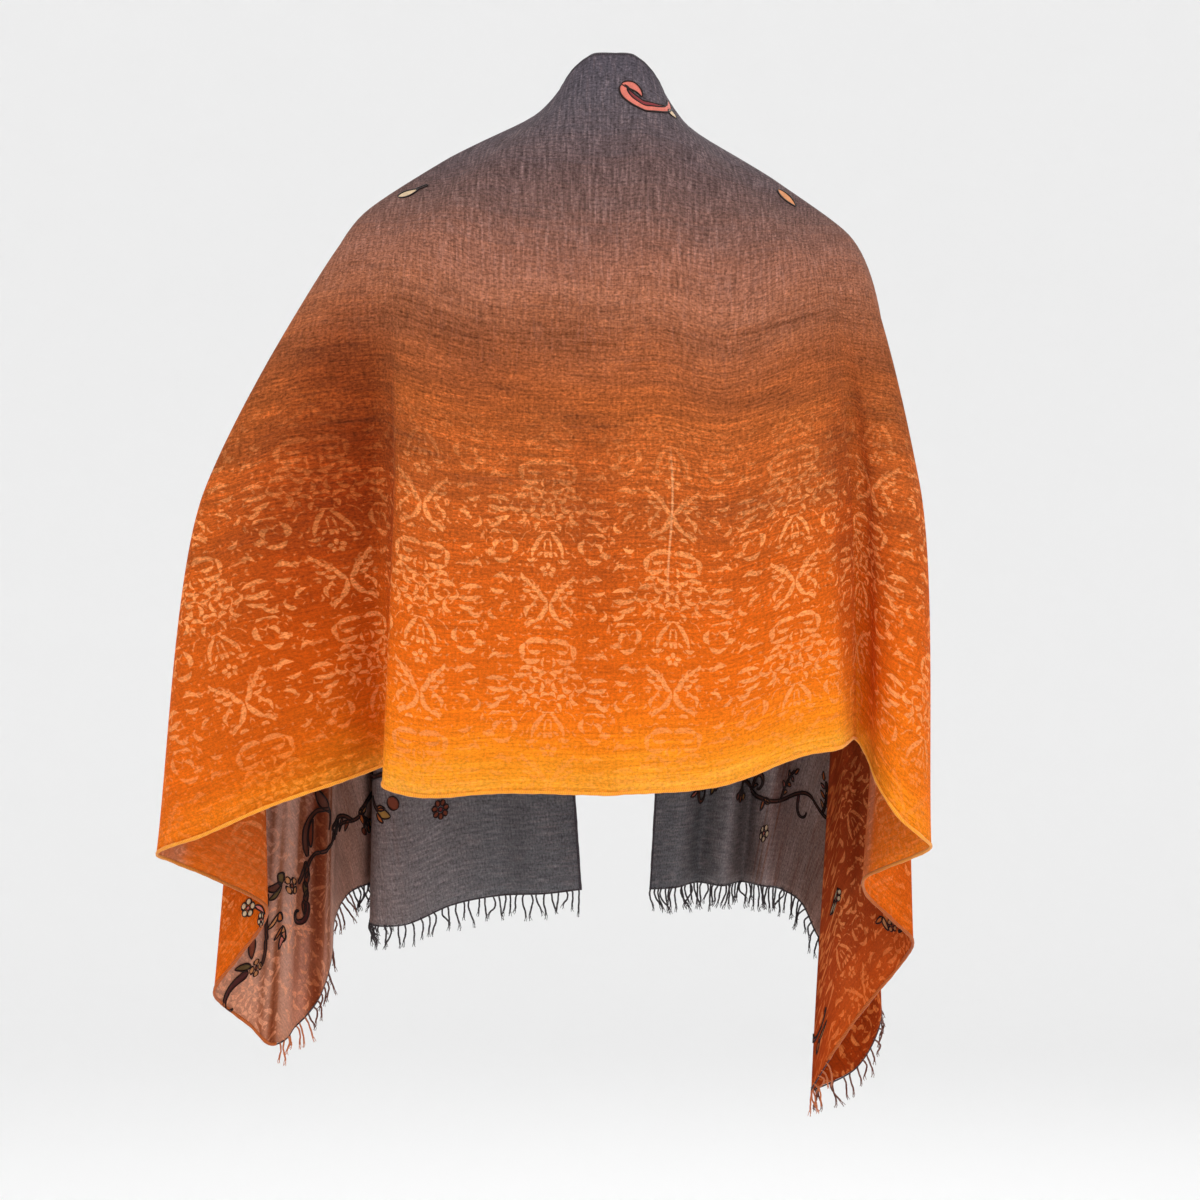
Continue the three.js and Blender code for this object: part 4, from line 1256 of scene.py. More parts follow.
@dataclass
class RolledHems:
    """Narrow rolled hems along the lower edge, round the neck and down the two front edges."""
    drape: Drape
    lower: Pair = (1.7, 1.3)        # half width across the edge, half thickness
    upper: Pair = (1.5, 1.2)
    inset: float = 1.3
    pitch: float = 3.0
    neck_stations: int = 400
    front_stations: int = 260
    front_start: float = 0.02         # in v
    corners: int = 8
    swells: tuple[Triple, ...] = ((0.09, 5.3, 0.0), (0.07, 1.9, 1.0))    # share, pitch and phase

    def roll(self, e: Array, v: Array, half: Pair, away: Array) -> tuple[Array, list, Array]:
        """A flattened tube along the cloth's edge: at each station an ellipse of the outward normal and
        the way across the edge.

        Args:
            e: (stations,) edge distances.
            v: (stations,) places down the hang lines.
            half: half width and half thickness.
            away: (stations, 3) unit directions out of the cloth across its edge.

        Returns:
            points, faces and UVs of the tube.
        """
        at = self.drape.frames(e, v)
        centre = at.point - away * self.inset
        turn = np.linspace(0, 2 * np.pi, self.corners, endpoint=False)
        along = path_length(centre)
        swell = sum((most * np.sin(along / pitch + phase) for most, pitch, phase in self.swells), 1.0)
        wide = np.cos(turn)[None, :, None] * away[:, None] * (half[0] * swell)[:, None, None]
        thick = np.sin(turn)[None, :, None] * at.out[:, None] * (half[1] * swell)[:, None, None]
        rings = centre[:, None] + wide + thick
        way_round = np.cross(rings[0, 1] - rings[0, 0], rings[0, 2] - rings[0, 1])
        if np.dot(way_round, centre[1] - centre[0]) > 0:
            rings = rings[:, ::-1]
        return tube(rings, along)

    def build(self) -> list[Piece]:
        """Builds both hem pieces.

        Returns:
            The golden lower one and the grey upper one.
        """
        e = np.linspace(-HALF_LENGTH, HALF_LENGTH, int(2 * HALF_LENGTH / self.pitch))
        points, faces, uv = self.roll(e, np.full_like(e, FALL_END), self.lower, across_edge(self.drape, e))
        lower = MeshParts()
        lower.add(points, faces, uv)
        low_piece = lower.piece("lower_hem_roll")
        gold = replace(GOLDEN_HEM, middle=float(uv[:, 0].max()) / 2)
        low_piece.data.materials.append(gold.material())
        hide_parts("lower_hem")

        upper = MeshParts()
        ring = np.linspace(-END_OF_EDGE, END_OF_EDGE, self.neck_stations)
        at = self.drape.frames(ring, np.zeros_like(ring))
        upper.add(*self.roll(ring, np.zeros_like(ring), self.upper, -at.down))
        v = np.linspace(self.front_start, FALL_END, self.front_stations)
        for end in (-END_OF_EDGE, END_OF_EDGE):
            e = np.full_like(v, end)
            at = self.drape.frames(e, v)
            upper.add(*self.roll(e, v, self.upper, at.along * np.sign(end)))
        up_piece = upper.piece("upper_hem_roll")
        up_piece.data.materials.append(SMOKE_HEM.material())
        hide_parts("upper_hem_neck", "upper_hem_left", "upper_hem_right")
        for piece in (low_piece, up_piece):
            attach(piece, "root")
        return [low_piece, up_piece]


def across_edge(drape: Drape, e: Array) -> Array:
    """Unit directions out of the cloth across its lower and end edges: edge direction x outward normal.

    Args:
        drape: the cloth's surface.
        e: (places,) edge distances.

    Returns:
        (places, 3).
    """
    low = np.maximum(e - drape.edge_step, -END_OF_EDGE)
    high = np.minimum(e + drape.edge_step, END_OF_EDGE)
    at_edge = np.full((len(e), 1), FALL_END)
    run = unit((drape.shaped(high, at_edge) - drape.shaped(low, at_edge))[:, 0, :3])
    return unit(np.cross(run, drape.frames(e, at_edge[:, 0]).out))


FRINGE_SEEDS = {"left": 41, "right": 87}
DOWNWARDS = np.array([0.0, 0.0, -1.0])


@dataclass
class Fringes:
    """Twisted strands along the two ends, each of a few yarns, with a fine bound edge above them."""
    drape: Drape
    strands: int = 84
    yarns: int = 3
    yarn_radius: float = 0.42
    bundle_radius: float = 0.55
    length: float = 23.0
    lengths: Pair = (0.82, 1.18)              # the shortest and the longest, as shares of it
    places: Pair = (-0.22, 0.22)              # how far the strands stand off their even spacing
    root_inset: float = 2.0
    drop_rate: float = 1.6                      # how soon a strand turns down
    lean: float = 0.05
    sway: Triple = (2.6, 2.2, 0.8)              # of the tip
    curl: Triple = (1.5, 1.5, 0.6)              # of the middle
    curl_turns: float = 1.7                     # in half waves
    twist: float = 7.0                          # of the yarns about each other, in radians
    loose_phase: float = 0.6
    tip: Triple = (0.72, 0.75, 0.45)            # where it frays, where it thins, and by how much
    fraying: Triple = (1.6, 0.2, 1.6)           # how much, times from how much to how much
    dye_bounds: Pair = (480.0, 645.0)         # t from which the yarns are russet, and orange
    steps: int = 10
    corners: int = 5
    binding: float = 0.8
    binding_inset: float = 0.6
    binding_stations: int = 240

    def strand(self, root: Array, away: Array, draw: np.random.Generator) -> Array:
        """Centre line of a strand: it leaves across the edge, turns down and sways.

        Args:
            root: (3,) its start.
            away: (3,) unit direction out of the cloth.
            draw: where random values come from.

        Returns:
            (steps, 3).
        """
        length = self.length * draw.uniform(*self.lengths)
        share = np.linspace(0, 1, self.steps)
        sway = draw.normal(0, 1, 3) * self.sway
        curl = draw.normal(0, 1, 3) * self.curl
        bend = np.minimum(share * self.drop_rate, 1.0)[:, None]
        heading = unit((1 - bend) * away + bend * DOWNWARDS + self.lean * sway / self.sway[0])
        steps = np.concatenate([[np.zeros(3)], heading[1:]]) * length / (self.steps - 1)
        wave = np.sin(np.pi * share * self.curl_turns)[:, None] * curl + (share ** 2)[:, None] * sway
        return root + np.cumsum(steps, axis=0) + wave

    def build(self, side: str) -> Piece:
        """Builds one end's fringe.

        Args:
            side: left or right.

        Returns:
            The piece.
        """
        sign = -1 if side == "left" else 1
        draw = np.random.default_rng(FRINGE_SEEDS[side])
        off = np.arange(self.strands) + 0.5 + draw.uniform(*self.places, self.strands)
        place = HALF_LENGTH + off * (WIDTH / self.strands)
        e = sign * place
        at = self.drape.frames(e, np.full_like(e, FALL_END))
        away = across_edge(self.drape, e)
        parts = MeshParts()
        turn = np.linspace(0, 2 * np.pi, self.corners, endpoint=False)
        cos, sin = np.cos(turn)[None, :, None], np.sin(turn)[None, :, None]
        share = np.linspace(0, 1, self.steps)
        (frays, thins, thinner), (fray, *fray_range) = self.tip, self.fraying
        thin = self.yarn_radius * (1 - thinner * smooth_step(thins, 1.0, share))
        for k in range(self.strands):
            line = self.strand(at.point[k] - away[k] * self.root_inset, away[k], draw)
            heading = unit(np.gradient(line, axis=0))
            side_way = unit(np.cross(heading, at.out[k]))
            front_way = np.cross(side_way, heading)
            slot = int(np.searchsorted(self.dye_bounds, END_OF_EDGE - place[k]))
            for yarn in range(self.yarns):
                phase = 2 * np.pi * yarn / self.yarns + self.twist * share + draw.uniform(0, self.loose_phase)
                loose = 1 + fray * smooth_step(frays, 1.0, share) * draw.uniform(*fray_range)
                apart = self.bundle_radius * loose
                centre = (line + (np.cos(phase) * apart)[:, None] * side_way
                          + (np.sin(phase) * apart)[:, None] * front_way)
                circle = cos * side_way[:, None] + sin * front_way[:, None]
                rings = centre[:, None] + thin[:, None, None] * circle
                parts.add(*tube(rings, path_length(centre)), slot=slot)
        edge = sign * np.linspace(HALF_LENGTH, END_OF_EDGE, self.binding_stations)
        frames = self.drape.frames(edge, np.full_like(edge, FALL_END))
        out_way = across_edge(self.drape, edge)
        circle = cos * out_way[:, None] + sin * frames.out[:, None]
        ring = (frames.point - out_way * self.binding_inset)[:, None] + self.binding * circle
        parts.add(*tube(ring, path_length(frames.point)), slot=0)
        piece = parts.piece(f"{side}_fringe_strands")
        for finish in FRINGE_YARNS:
            piece.data.materials.append(finish.material())
        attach(piece, "root")
        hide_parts(f"{side}_fringe")
        return piece


# ---- The embroidery --------------------
class Thread(Enum):
    """Colours of the embroidery thread, each as red, green and blue from 0 to 255."""
    OUTLINE = (36, 17, 14)
    CORAL = (246, 134, 116)
    ROSE = (150, 56, 60)
    CREAM = (248, 216, 176)
    APRICOT = (244, 162, 104)
    ORANGE = (236, 120, 50)
    OCHRE = (204, 150, 72)
    RUSSET = (150, 70, 44)
    UMBER = (108, 58, 42)
    OLIVE = (116, 92, 50)
    MAROON = (92, 38, 36)


class Shape(Enum):
    """How a stitched stroke's half width runs along it."""
    LEAF = "leaf"
    STEM = "stem"
    HOOK = "hook"
    COMMA = "comma"
    ROUND = "round"

    def share(self, u: Array) -> Array:
        """Half width as a share of the widest. A leaf is sin(pi u^0.8)^0.8, a hook falls off from a blunt
        start, a comma is sin(pi u^0.55)^0.6 with a wide end, a round is half an ellipse, and a stem is even
        with rounded ends.

        Args:
            u: shares of the length.

        Returns:
            As many half widths.
        """
        if self is Shape.LEAF:
            return np.sin(np.pi * u ** 0.8) ** 0.8
        if self is Shape.HOOK:
            return np.minimum(1.0, 3.5 * np.sqrt(u)) * (1.0 - 0.72 * u ** 0.9) * np.sqrt(1.0 - u ** 12)
        if self is Shape.COMMA:
            return np.maximum(np.sin(np.pi * u ** 0.55) ** 0.6, 0.62 * smooth_step(0.5, 0.8, u)
                              * np.sqrt(1.0 - u ** 16))
        if self is Shape.ROUND:
            return np.sqrt(np.maximum(1.0 - (2.0 * u - 1.0) ** 2, 0.0))
        return np.minimum(1.0, 6.0 * np.sqrt(u * (1.0 - u)))


@dataclass(frozen=True)
class Stroke:
    """One satin-stitched stroke on the flat cloth. Its heading turns evenly from one rate to another.

    Sizes are in millimetres. Headings and turns are in degrees, from the way along the cloth towards
    its lower edge; turn_start and turn_end are what the whole stroke would turn at its first and last
    rate.
    """
    s: float
    t: float
    heading: float
    length: float
    half: float
    turn_start: float
    turn_end: float
    shape: Shape
    thread: Thread
    height: float = 0.7

    def path(self, step: float) -> tuple[Array, Array]:
        """Its centre line and the unit normals of it, by summing short straight steps.

        Args:
            step: spacing of the points.

        Returns:
            (points, 2) each.
        """
        count = max(int(np.ceil(self.length / step)) + 1, 6)
        u = np.linspace(0.0, 1.0, count)
        turn = np.radians(self.heading + self.turn_start * u
                          + (self.turn_end - self.turn_start) * u * u / 2)
        way = np.stack([np.cos(turn), np.sin(turn)], axis=-1)
        middle = unit((way[1:] + way[:-1]) / 2) * self.length / (count - 1)
        points = np.concatenate([[[0.0, 0.0]], np.cumsum(middle, axis=0)]) + [self.s, self.t]
        return points, np.stack([-way[:, 1], way[:, 0]], axis=-1)


@dataclass(frozen=True)
class Motif:
    """A small figure of strokes in its own frame, which is laid on the cloth, turned and scaled."""
    strokes: tuple[Stroke, ...]

    def laid(self, s: float, t: float, heading: float, size: float = 1.0, mirrored: bool = False,
             threads: Optional[dict] = None) -> list[Stroke]:
        """Its strokes at a place on the cloth.

        Args:
            s: along the cloth.
            t: across the cloth.
            heading: where the figure's own first axis points.
            size: scale of all its sizes.
            mirrored: whether it bends the other way.
            threads: threads to use in place of its own.

        Returns:
            The strokes.
        """
        turn, flip = math.radians(heading), -1.0 if mirrored else 1.0
        laid = []
        for stroke in self.strokes:
            x, y = stroke.s * size, stroke.t * size * flip
            laid.append(replace(
                stroke, s=s + x * math.cos(turn) - y * math.sin(turn),
                t=t + x * math.sin(turn) + y * math.cos(turn), heading=heading + stroke.heading * flip,
                length=stroke.length * size, half=stroke.half * size,
                turn_start=stroke.turn_start * flip, turn_end=stroke.turn_end * flip,
                thread=(threads or {}).get(stroke.thread, stroke.thread)))
        return laid


def motif(*rows: Sequence) -> Motif:
    """A motif of strokes, each given by its fields in order."""
    return Motif(tuple(Stroke(*row) for row in rows))


def blossom(petals: int, reach: float, half: float, petal: Thread, heart: Thread) -> Motif:
    """A flower of round petals about a round heart.

    Args:
        petals: how many.
        reach: radius of the flower.
        half: half width of a petal.
        petal: thread of the petals.
        heart: thread of the heart.

    Returns:
        The motif.
    """
    strokes = [Stroke(reach * 0.34 * math.cos(turn), reach * 0.34 * math.sin(turn), math.degrees(turn),
                      reach * 0.66, half, 0, 0, Shape.ROUND, petal)
               for turn in np.arange(petals) * 2 * math.pi / petals + 0.3]
    middle = Stroke(-reach * 0.24, 0, 0, reach * 0.48, reach * 0.24, 0, 0, Shape.ROUND, heart, 1.0)
    return Motif((*strokes, middle))


LEAF, STEM, HOOK, COMMA, ROUND = Shape
OUTLINE, CORAL, ROSE, CREAM, APRICOT, ORANGE, OCHRE, RUSSET, UMBER, OLIVE, MAROON = Thread
SPRAY = motif(              # a curled stalk with leaves on both sides
    (0, 0, 0, 46, 1.5, 34, 50, STEM, UMBER),
    (9, 1, 52, 12, 2.6, 24, 30, LEAF, APRICOT),
    (15, 2, -44, 13, 2.7, -20, -34, LEAF, CORAL),
    (22, 6, 72, 12, 2.6, 20, 30, LEAF, ORANGE),
    (28, 8, -24, 13, 2.6, -24, -30, LEAF, APRICOT),
    (33, 12, 92, 10, 2.2, 20, 24, LEAF, CORAL),
    (40, 18, 44, 12, 2.6, -20, 0, LEAF, ORANGE),
)
SCROLL = motif(             # a broad comma that rolls in on itself
    (0, 0, 0, 54, 3.2, 40, 520, HOOK, RUSSET),
    (2, 3.6, 30, 15, 1.8, 60, 40, LEAF, ORANGE),
    (12, -3.2, -40, 14, 2.4, -30, -20, LEAF, CORAL),
)
TRUMPET = motif(            # a bud with two sepals on a short stalk
    (0, 0, 0, 15, 1.3, 20, 40, STEM, UMBER),
    (14, 3, 34, 14, 4.0, 0, 10, LEAF, OCHRE),
    (13, 3, 78, 10, 2.2, -50, -20, LEAF, ORANGE),
    (15, 1, -16, 10, 2.2, 50, 20, LEAF, ORANGE),
)
BERRIES = motif(            # three round berries at the tips of a fork
    (0, 0, 0, 17, 1.2, 12, 12, STEM, UMBER),
    (8, 1, 46, 10, 1.1, 10, 10, STEM, UMBER),
    (9, 0.6, -40, 10, 1.1, -10, 0, STEM, UMBER),
    (16, 2.6, 10, 8, 4.0, 0, 0, ROUND, ORANGE),
    (14, 8.6, 50, 7.6, 3.8, 0, 0, ROUND, OCHRE),
    (16, -5.8, -40, 7.6, 3.8, 0, 0, ROUND, RUSSET),
)
FISHTAIL = motif(           # two leaves that part like a fishtail
    (0, 0, 26, 17, 3.0, 40, 10, LEAF, APRICOT),
    (0, 0, -30, 15, 2.8, -40, -10, LEAF, ORANGE),
)
TENDRIL = motif(            # a thin hooked tendril
    (0, 0, 0, 44, 2.0, -10, 400, HOOK, ROSE),
)
FLOWER = blossom(5, 7.6, 2.9, CREAM, CORAL)
SMALL_FLOWER = blossom(4, 7.6, 3.1, APRICOT, RUSSET)
SPRIG = motif(              # a stalk with hanging leaves along one side
    (0, 0, 0, 74, 1.7, -6, 22, STEM, UMBER),
    (9, 1.6, 66, 15, 3.1, 10, 30, LEAF, RUSSET),
    (22, 1.4, 62, 16, 3.2, 10, 30, LEAF, UMBER),
    (35, 1.4, 60, 17, 3.2, 10, 30, LEAF, RUSSET),
    (48, 2.4, 58, 17, 3.3, 10, 30, LEAF, UMBER),
    (61, 5, 60, 16, 3.2, 10, 30, LEAF, RUSSET),
)
BRAID = motif(              # a chain of short crossed leaves
    (0, -1.6, 12, 14, 2.6, 0, -40, LEAF, UMBER),
    (7, 2.0, -14, 15, 2.6, 0, 40, LEAF, RUSSET),
    (16, -2.0, 14, 15, 2.6, 0, -40, LEAF, OLIVE),
    (24, 2.0, -14, 15, 2.6, 0, 40, LEAF, UMBER),
    (33, -1.8, 12, 14, 2.4, 0, -40, LEAF, RUSSET),
)
FAN = motif(                # three broad dark leaves from one point
    (0, 0, -62, 18, 3.7, 30, 30, LEAF, OLIVE),
    (1, 0, -8, 21, 4.0, 20, 0, LEAF, UMBER),
    (0, 1, 44, 17, 3.5, -30, -20, LEAF, OLIVE),
)
LOOP = motif(               # a large leaf that rolls round a smaller one
    (0, 0, 0, 96, 3.3, -30, -460, HOOK, UMBER),
    (8, -7, -8, 30, 3.2, -10, -50, LEAF, RUSSET),
)
CLUSTER = blossom(7, 9.5, 2.5, RUSSET, ROSE)
NAPE_SCROLL = motif(        # at the back of the neck
    (9, 37, 84, 76, 5.2, -190, -165, COMMA, CORAL, 0.9),
    (8, 36, -4, 24, 4.6, 60, 110, LEAF, CORAL, 0.9),
    (12.8, 40.6, 72, 46, 2.2, -125, -125, LEAF, ROSE, 1.25),
    (55, 47, 60, 10, 6.0, 0, 0, ROUND, CREAM, 1.0),
)

# Stems of the vine. Columns: s, t.
LEFT_END_STEM = [[-748, 56], [-760, 110], [-752, 165], [-764, 215], [-772, 262], [-786, 310], [-800, 356],
                 [-816, 404], [-832, 443], [-816, 470], [-797, 500], [-776, 526], [-767, 546], [-777, 558],
                 [-782, 571]]
LEFT_TAIL_STEM = [[-770, 616], [-784, 630], [-799, 641], [-804, 653]]
LEFT_EDGE_STEM = [[-748, 56], [-720, 78], [-690, 66], [-628, 90], [-560, 62], [-492, 90], [-424, 66],
                  [-356, 92], [-296, 72], [-240, 84], [-212, 100]]
RIGHT_END_STEM = [[800, 56], [786, 112], [792, 170], [812, 224], [814, 282], [794, 334], [782, 386],
                  [796, 436], [812, 482], [804, 530], [786, 562]]
RIGHT_EDGE_STEM = [[800, 56], [742, 84], [676, 62], [610, 90], [548, 66], [486, 92], [418, 64], [352, 88],
                   [292, 66], [236, 70], [190, 44], [156, 38]]

# Motifs along the left end. Columns: motif, s, t, heading, size, mirrored, the last two only
# where they are not 1 and False.
LEFT_END_MOTIFS = [
    [SCROLL, -758, 88, 196, 0.9], [BERRIES, -760, 122, -6, 0.9], [SMALL_FLOWER, -726, 104, 0],
    [CLUSTER, -808, 156, 0], [TRUMPET, -754, 168, 172, 1.0, True], [BERRIES, -762, 206, 24, 0.95, True],
    [TRUMPET, -784, 236, 214, 1.15], [FISHTAIL, -768, 236, 60, 0.9], [SPRAY, -772, 262, 20, 0.9, True],
    [SMALL_FLOWER, -738, 262, 0, 1.1], [SCROLL, -786, 304, 8, 0.9, True], [TENDRIL, -796, 336, 176, 0.9],
    [SPRAY, -806, 372, 8, 0.8], [BERRIES, -824, 424, 190, 1.1], [FISHTAIL, -826, 430, 240, 1.1],
    [SPRIG, -832, 443, 45], [LOOP, -767, 546, -22], [SMALL_FLOWER, -778, 583, 0, 1.3], [FAN, -768, 590, 30],
    [BRAID, -772, 550, 140, 1.15], [FISHTAIL, -786, 610, 118, 0.95, True], [FISHTAIL, -806, 618, 108, 0.85],
    [SMALL_FLOWER, -800, 658, 30, 1.15], [FLOWER, -677, 670, 10, 1.2], [FLOWER, -669, 694, 40],
]
# Single strokes of the left end, and of the right.
LEFT_END_STROKES = motif(
    (-794, 200, 40, 13, 6.2, 0, 0, ROUND, RUSSET),
    (-716, 494, 164, 36, 4.2, 20, 30, LEAF, UMBER),
    (-804, 574, 152, 48, 3.8, -10, -600, HOOK, MAROON),
    (-812, 620, 112, 16, 3.4, 0, 30, LEAF, CORAL),
    (-670, 675, 56, 24, 2.4, 0, 20, LEAF, CORAL),
    (-654, 690, -16, 17, 3.2, 10, 10, LEAF, ORANGE),
    (-771, 640, 132, 22, 4.2, 10, 10, LEAF, RUSSET),
    (-792, 660, 26, 20, 3.3, 0, 30, LEAF, OLIVE),
    (-793, 665, 62, 56, 4.6, -40, 420, HOOK, MAROON),
    (-203, 144, -24, 26, 5.0, 10, -10, LEAF, CREAM),
    (-182, 134, -22, 14, 1.3, 0, 0, STEM, UMBER),
)
RIGHT_END_STROKES = motif((152, 101, 49, 34, 5.2, 6, 6, LEAF, APRICOT))
# Motifs along the right end, with the same columns.
RIGHT_END_MOTIFS = [
    [SCROLL, 794, 84, -14, 0.9], [SMALL_FLOWER, 766, 112, 0, 1.1], [TRUMPET, 786, 120, 20, 0.9, True],
    [SPRAY, 788, 150, 176, 0.85], [BERRIES, 796, 182, -12, 0.95], [SCROLL, 806, 212, 160, 0.9, True],
    [FISHTAIL, 814, 246, 36, 0.9], [FLOWER, 848, 262, 0, 1.2], [SPRAY, 814, 282, 170, 0.85, True],
    [TENDRIL, 800, 322, 6, 0.9], [SPRAY, 786, 366, 178, 0.8], [BERRIES, 784, 394, 8, 0.9, True],
    [SCROLL, 798, 440, 182, 0.9], [FISHTAIL, 808, 464, 10, 0.9], [SMALL_FLOWER, 836, 492, 0],
    [SPRAY, 810, 500, 184, 0.8, True], [TENDRIL, 800, 540, 24, 0.9, True], [FLOWER, 772, 586, 0, 1.1],
    [FISHTAIL, 726, 648, 40, 0.9], [SMALL_FLOWER, 720, 662, 0, 0.95], [TENDRIL, 716, 672, 150, 0.6],
    [TENDRIL, 858, 622, 60, 0.8], [FISHTAIL, 868, 646, 80, 0.7],
]
# What grows from the stems along the upper edge, in turn. Columns: motif, angle to the stem, size.
EDGE_MOTIFS = [
    [SPRAY, 38, 0.7], [SCROLL, 30, 0.72], [BERRIES, 46, 0.85], [FISHTAIL, 40, 0.95], [SCROLL, 26, 0.66],
    [TRUMPET, 44, 0.9],
]


# A stitched stroke's cross-section: places across it in half widths, and heights in its own height.
FILL_ACROSS = np.array([-1.0, -0.72, 0.0, 0.72, 1.0, 0.0])
FILL_RISE = np.array([-0.1, 0.7, 1.0, 0.7, -0.1, -0.25])
OUTLINE_TURNS = np.linspace(0, 2 * np.pi, 4, endpoint=False) + np.pi / 4


@dataclass
class Embroidery:
    """Satin-stitched vine with a dark outline round each stroke, on both faces of the cloth."""
    drape: Drape
    cloth_half: float
    step: float = 1.7
    outline: float = 1.05
    outline_lift: float = 0.25
    outline_girth: float = 4.0
    stroke_tip: float = 0.004         # share of a stroke's length left off at each end
    full_half: float = 1.6            # strokes with less half width are lower,
    least_rise: float = 0.35          # down to this share
    reverse_rise: float = 0.6         # of the height on the outer face
    stem_half: float = 1.5
    stem_piece: float = 24.0
    stem_samples: int = 12            # on each piece
    stem_overlap: float = 1.04
    growth_spacing: float = 44.0
    growth_bounds: Pair = (0.6, 0.3)    # how far from both ends of the stem, in spacings
    flower_aside: float = 13.0

    def stem(self, rows: Table, thread: Thread) -> list[Stroke]:
        """A stem along a smooth curve through a table's points, as short overlapping strokes.

        Args:
            rows: its s and t.
            thread: its thread.

        Returns:
            The strokes, each about stem_piece long and turning as the curve does.
        """
        points = np.asarray(rows, float)
        knots = path_length(points)
        count, samples = max(int(knots[-1] / self.stem_piece), 1), self.stem_samples
        place = np.linspace(0, knots[-1], count * samples + 1)
        curve = table_curve(np.column_stack([knots, points]), place)
        heading = np.unwrap(np.arctan2(*np.gradient(curve, axis=0).T[::-1]))
        strokes = []
        for first in range(0, count * samples, samples):
            last = first + samples
            turn = math.degrees(heading[last] - heading[first])
            length = path_length(curve[first:last + 1])[-1] * self.stem_overlap
            strokes.append(Stroke(*curve[first], math.degrees(heading[first]), length, self.stem_half,
                                  turn, turn, STEM, thread))
        return strokes

    def growth(self, rows: Table) -> list[Stroke]:
        """Motifs on alternate sides of a stem, at even spacing, in the order of EDGE_MOTIFS, with a
        flower across from every third.

        Args:
            rows: the stem's s and t.

        Returns:
            The strokes.
        """
        points = np.asarray(rows, float)
        knots, spacing = path_length(points), self.growth_spacing
        start, stop = self.growth_bounds
        place = np.arange(spacing * start, knots[-1] - spacing * stop, spacing)
        curve = table_curve(np.column_stack([knots, points]), place)
        ahead = table_curve(np.column_stack([knots, points]), place + 1.0) - curve
        strokes = []
        for k, (spot, way) in enumerate(zip(curve, ahead)):
            figure, angle, size = EDGE_MOTIFS[k % len(EDGE_MOTIFS)]
            side = 1 if k % 2 else -1
            heading = math.degrees(math.atan2(way[1], way[0])) + side * angle
            strokes += figure.laid(*spot, heading, size, side < 0)
            if k % 3 == 1:
                over = np.array([-way[1], way[0]]) / np.hypot(*way)
                strokes += FLOWER.laid(*(spot - side * self.flower_aside * over), 0)
        return strokes

    def strokes(self, side: str) -> list[Stroke]:
        """All strokes of one half of the stole.

        Args:
            side: left or right.

        Returns:
            The strokes.
        """
        left = side == "left"
        end, edge = (LEFT_END_STEM, LEFT_EDGE_STEM) if left else (RIGHT_END_STEM, RIGHT_EDGE_STEM)
        laid = self.stem(end, UMBER) + self.stem(edge, UMBER) + self.growth(edge)
        if left:
            laid += [*self.stem(LEFT_TAIL_STEM, UMBER), *LEFT_END_STROKES.strokes]
        else:
            laid += [*NAPE_SCROLL.strokes, *RIGHT_END_STROKES.strokes]
        for figure, *place in LEFT_END_MOTIFS if left else RIGHT_END_MOTIFS:
            laid += figure.laid(*place)
        return laid

    def mapped(self, flat: Array, height: Array, start: tuple[Array, Array], face: int) -> Array:
        """Carries points of the flat cloth and their heights over it to the draped cloth.

        Args:
            flat: (points, 2) s and t.
            height: (points,) over the cloth's face.
            start: e and v near them.
            face: 1 for the outer face, -1 for the inner one.

        Returns:
            (points, 3).
        """
        e, v = self.drape.refine(flat, *start)
        at = self.drape.frames(e, v)
        return at.point + at.out * (face * (self.cloth_half + height))[:, None]

    def build(self, side: str, face: int) -> Piece:
        """Builds the stitching of one half of the stole on one face.

        Each stroke is a low dome: its height over the cloth is that of a half ellipse across it, and it
        shrinks with the stroke's half width. Its outline is a thin tube round it.

        Args:
            side: left or right.
            face: 1 for the outer face, -1 for the reverse on the inner one.

        Returns:
            The piece.
        """
        order = list(Thread)
        parts = MeshParts()
        lower = 1.0 if face > 0 else self.reverse_rise
        cos, sin = np.cos(OUTLINE_TURNS) * self.outline, np.sin(OUTLINE_TURNS) * self.outline
        flats, heights, centres, plans = [], [], [], []
        for stroke in self.strokes(side):
            path, normal = stroke.path(self.step)
            share = np.linspace(self.stroke_tip, 1.0 - self.stroke_tip, len(path))
            half = stroke.half * stroke.shape.share(share)
            rise = stroke.height * lower * np.clip(half / self.full_half, self.least_rise, 1.0)
            flat = path[:, None] + FILL_ACROSS[None, :, None] * (half[:, None] * normal)[:, None]
            flats.append(flat.reshape(-1, 2))
            heights.append((rise[:, None] * FILL_RISE).ravel())
            centres.append(np.repeat(path, len(FILL_ACROSS), axis=0))
            plans.append((len(path), stroke.thread))
            loop = np.concatenate([path + normal * half[:, None], (path - normal * half[:, None])[::-1]])
            outward = np.concatenate([normal, -normal[::-1]])
            flats.append((loop[:, None] + outward[:, None] * cos[None, :, None]).reshape(-1, 2))
            heights.append(np.tile(self.outline_lift + sin, len(loop)))
            centres.append(np.repeat(np.concatenate([path, path[::-1]]), len(cos), axis=0))
            plans.append((len(loop), OUTLINE))
        spots, back = np.unique(np.concatenate(centres), axis=0, return_inverse=True)
        e, v = self.drape.locate(spots[:, 0], spots[:, 1])
        back = back.reshape(-1)
        placed = self.mapped(np.concatenate(flats), np.concatenate(heights), (e[back], v[back]), face)
        first = 0
        for stations, thread in plans:
            filled = thread is not OUTLINE
            corners = len(FILL_ACROSS) if filled else len(cos)
            rings = placed[first:first + stations * corners].reshape(stations, corners, 3)
            first += stations * corners
            if face < 0:
                rings = rings[:, ::-1]
            if filled:
                body = tube(rings[:, ::-1], path_length(rings[:, 2]))
            else:
                body = tube(rings, path_length(rings[:, 0]), self.outline_girth, looped=True)
            parts.add(*body, slot=order.index(thread))
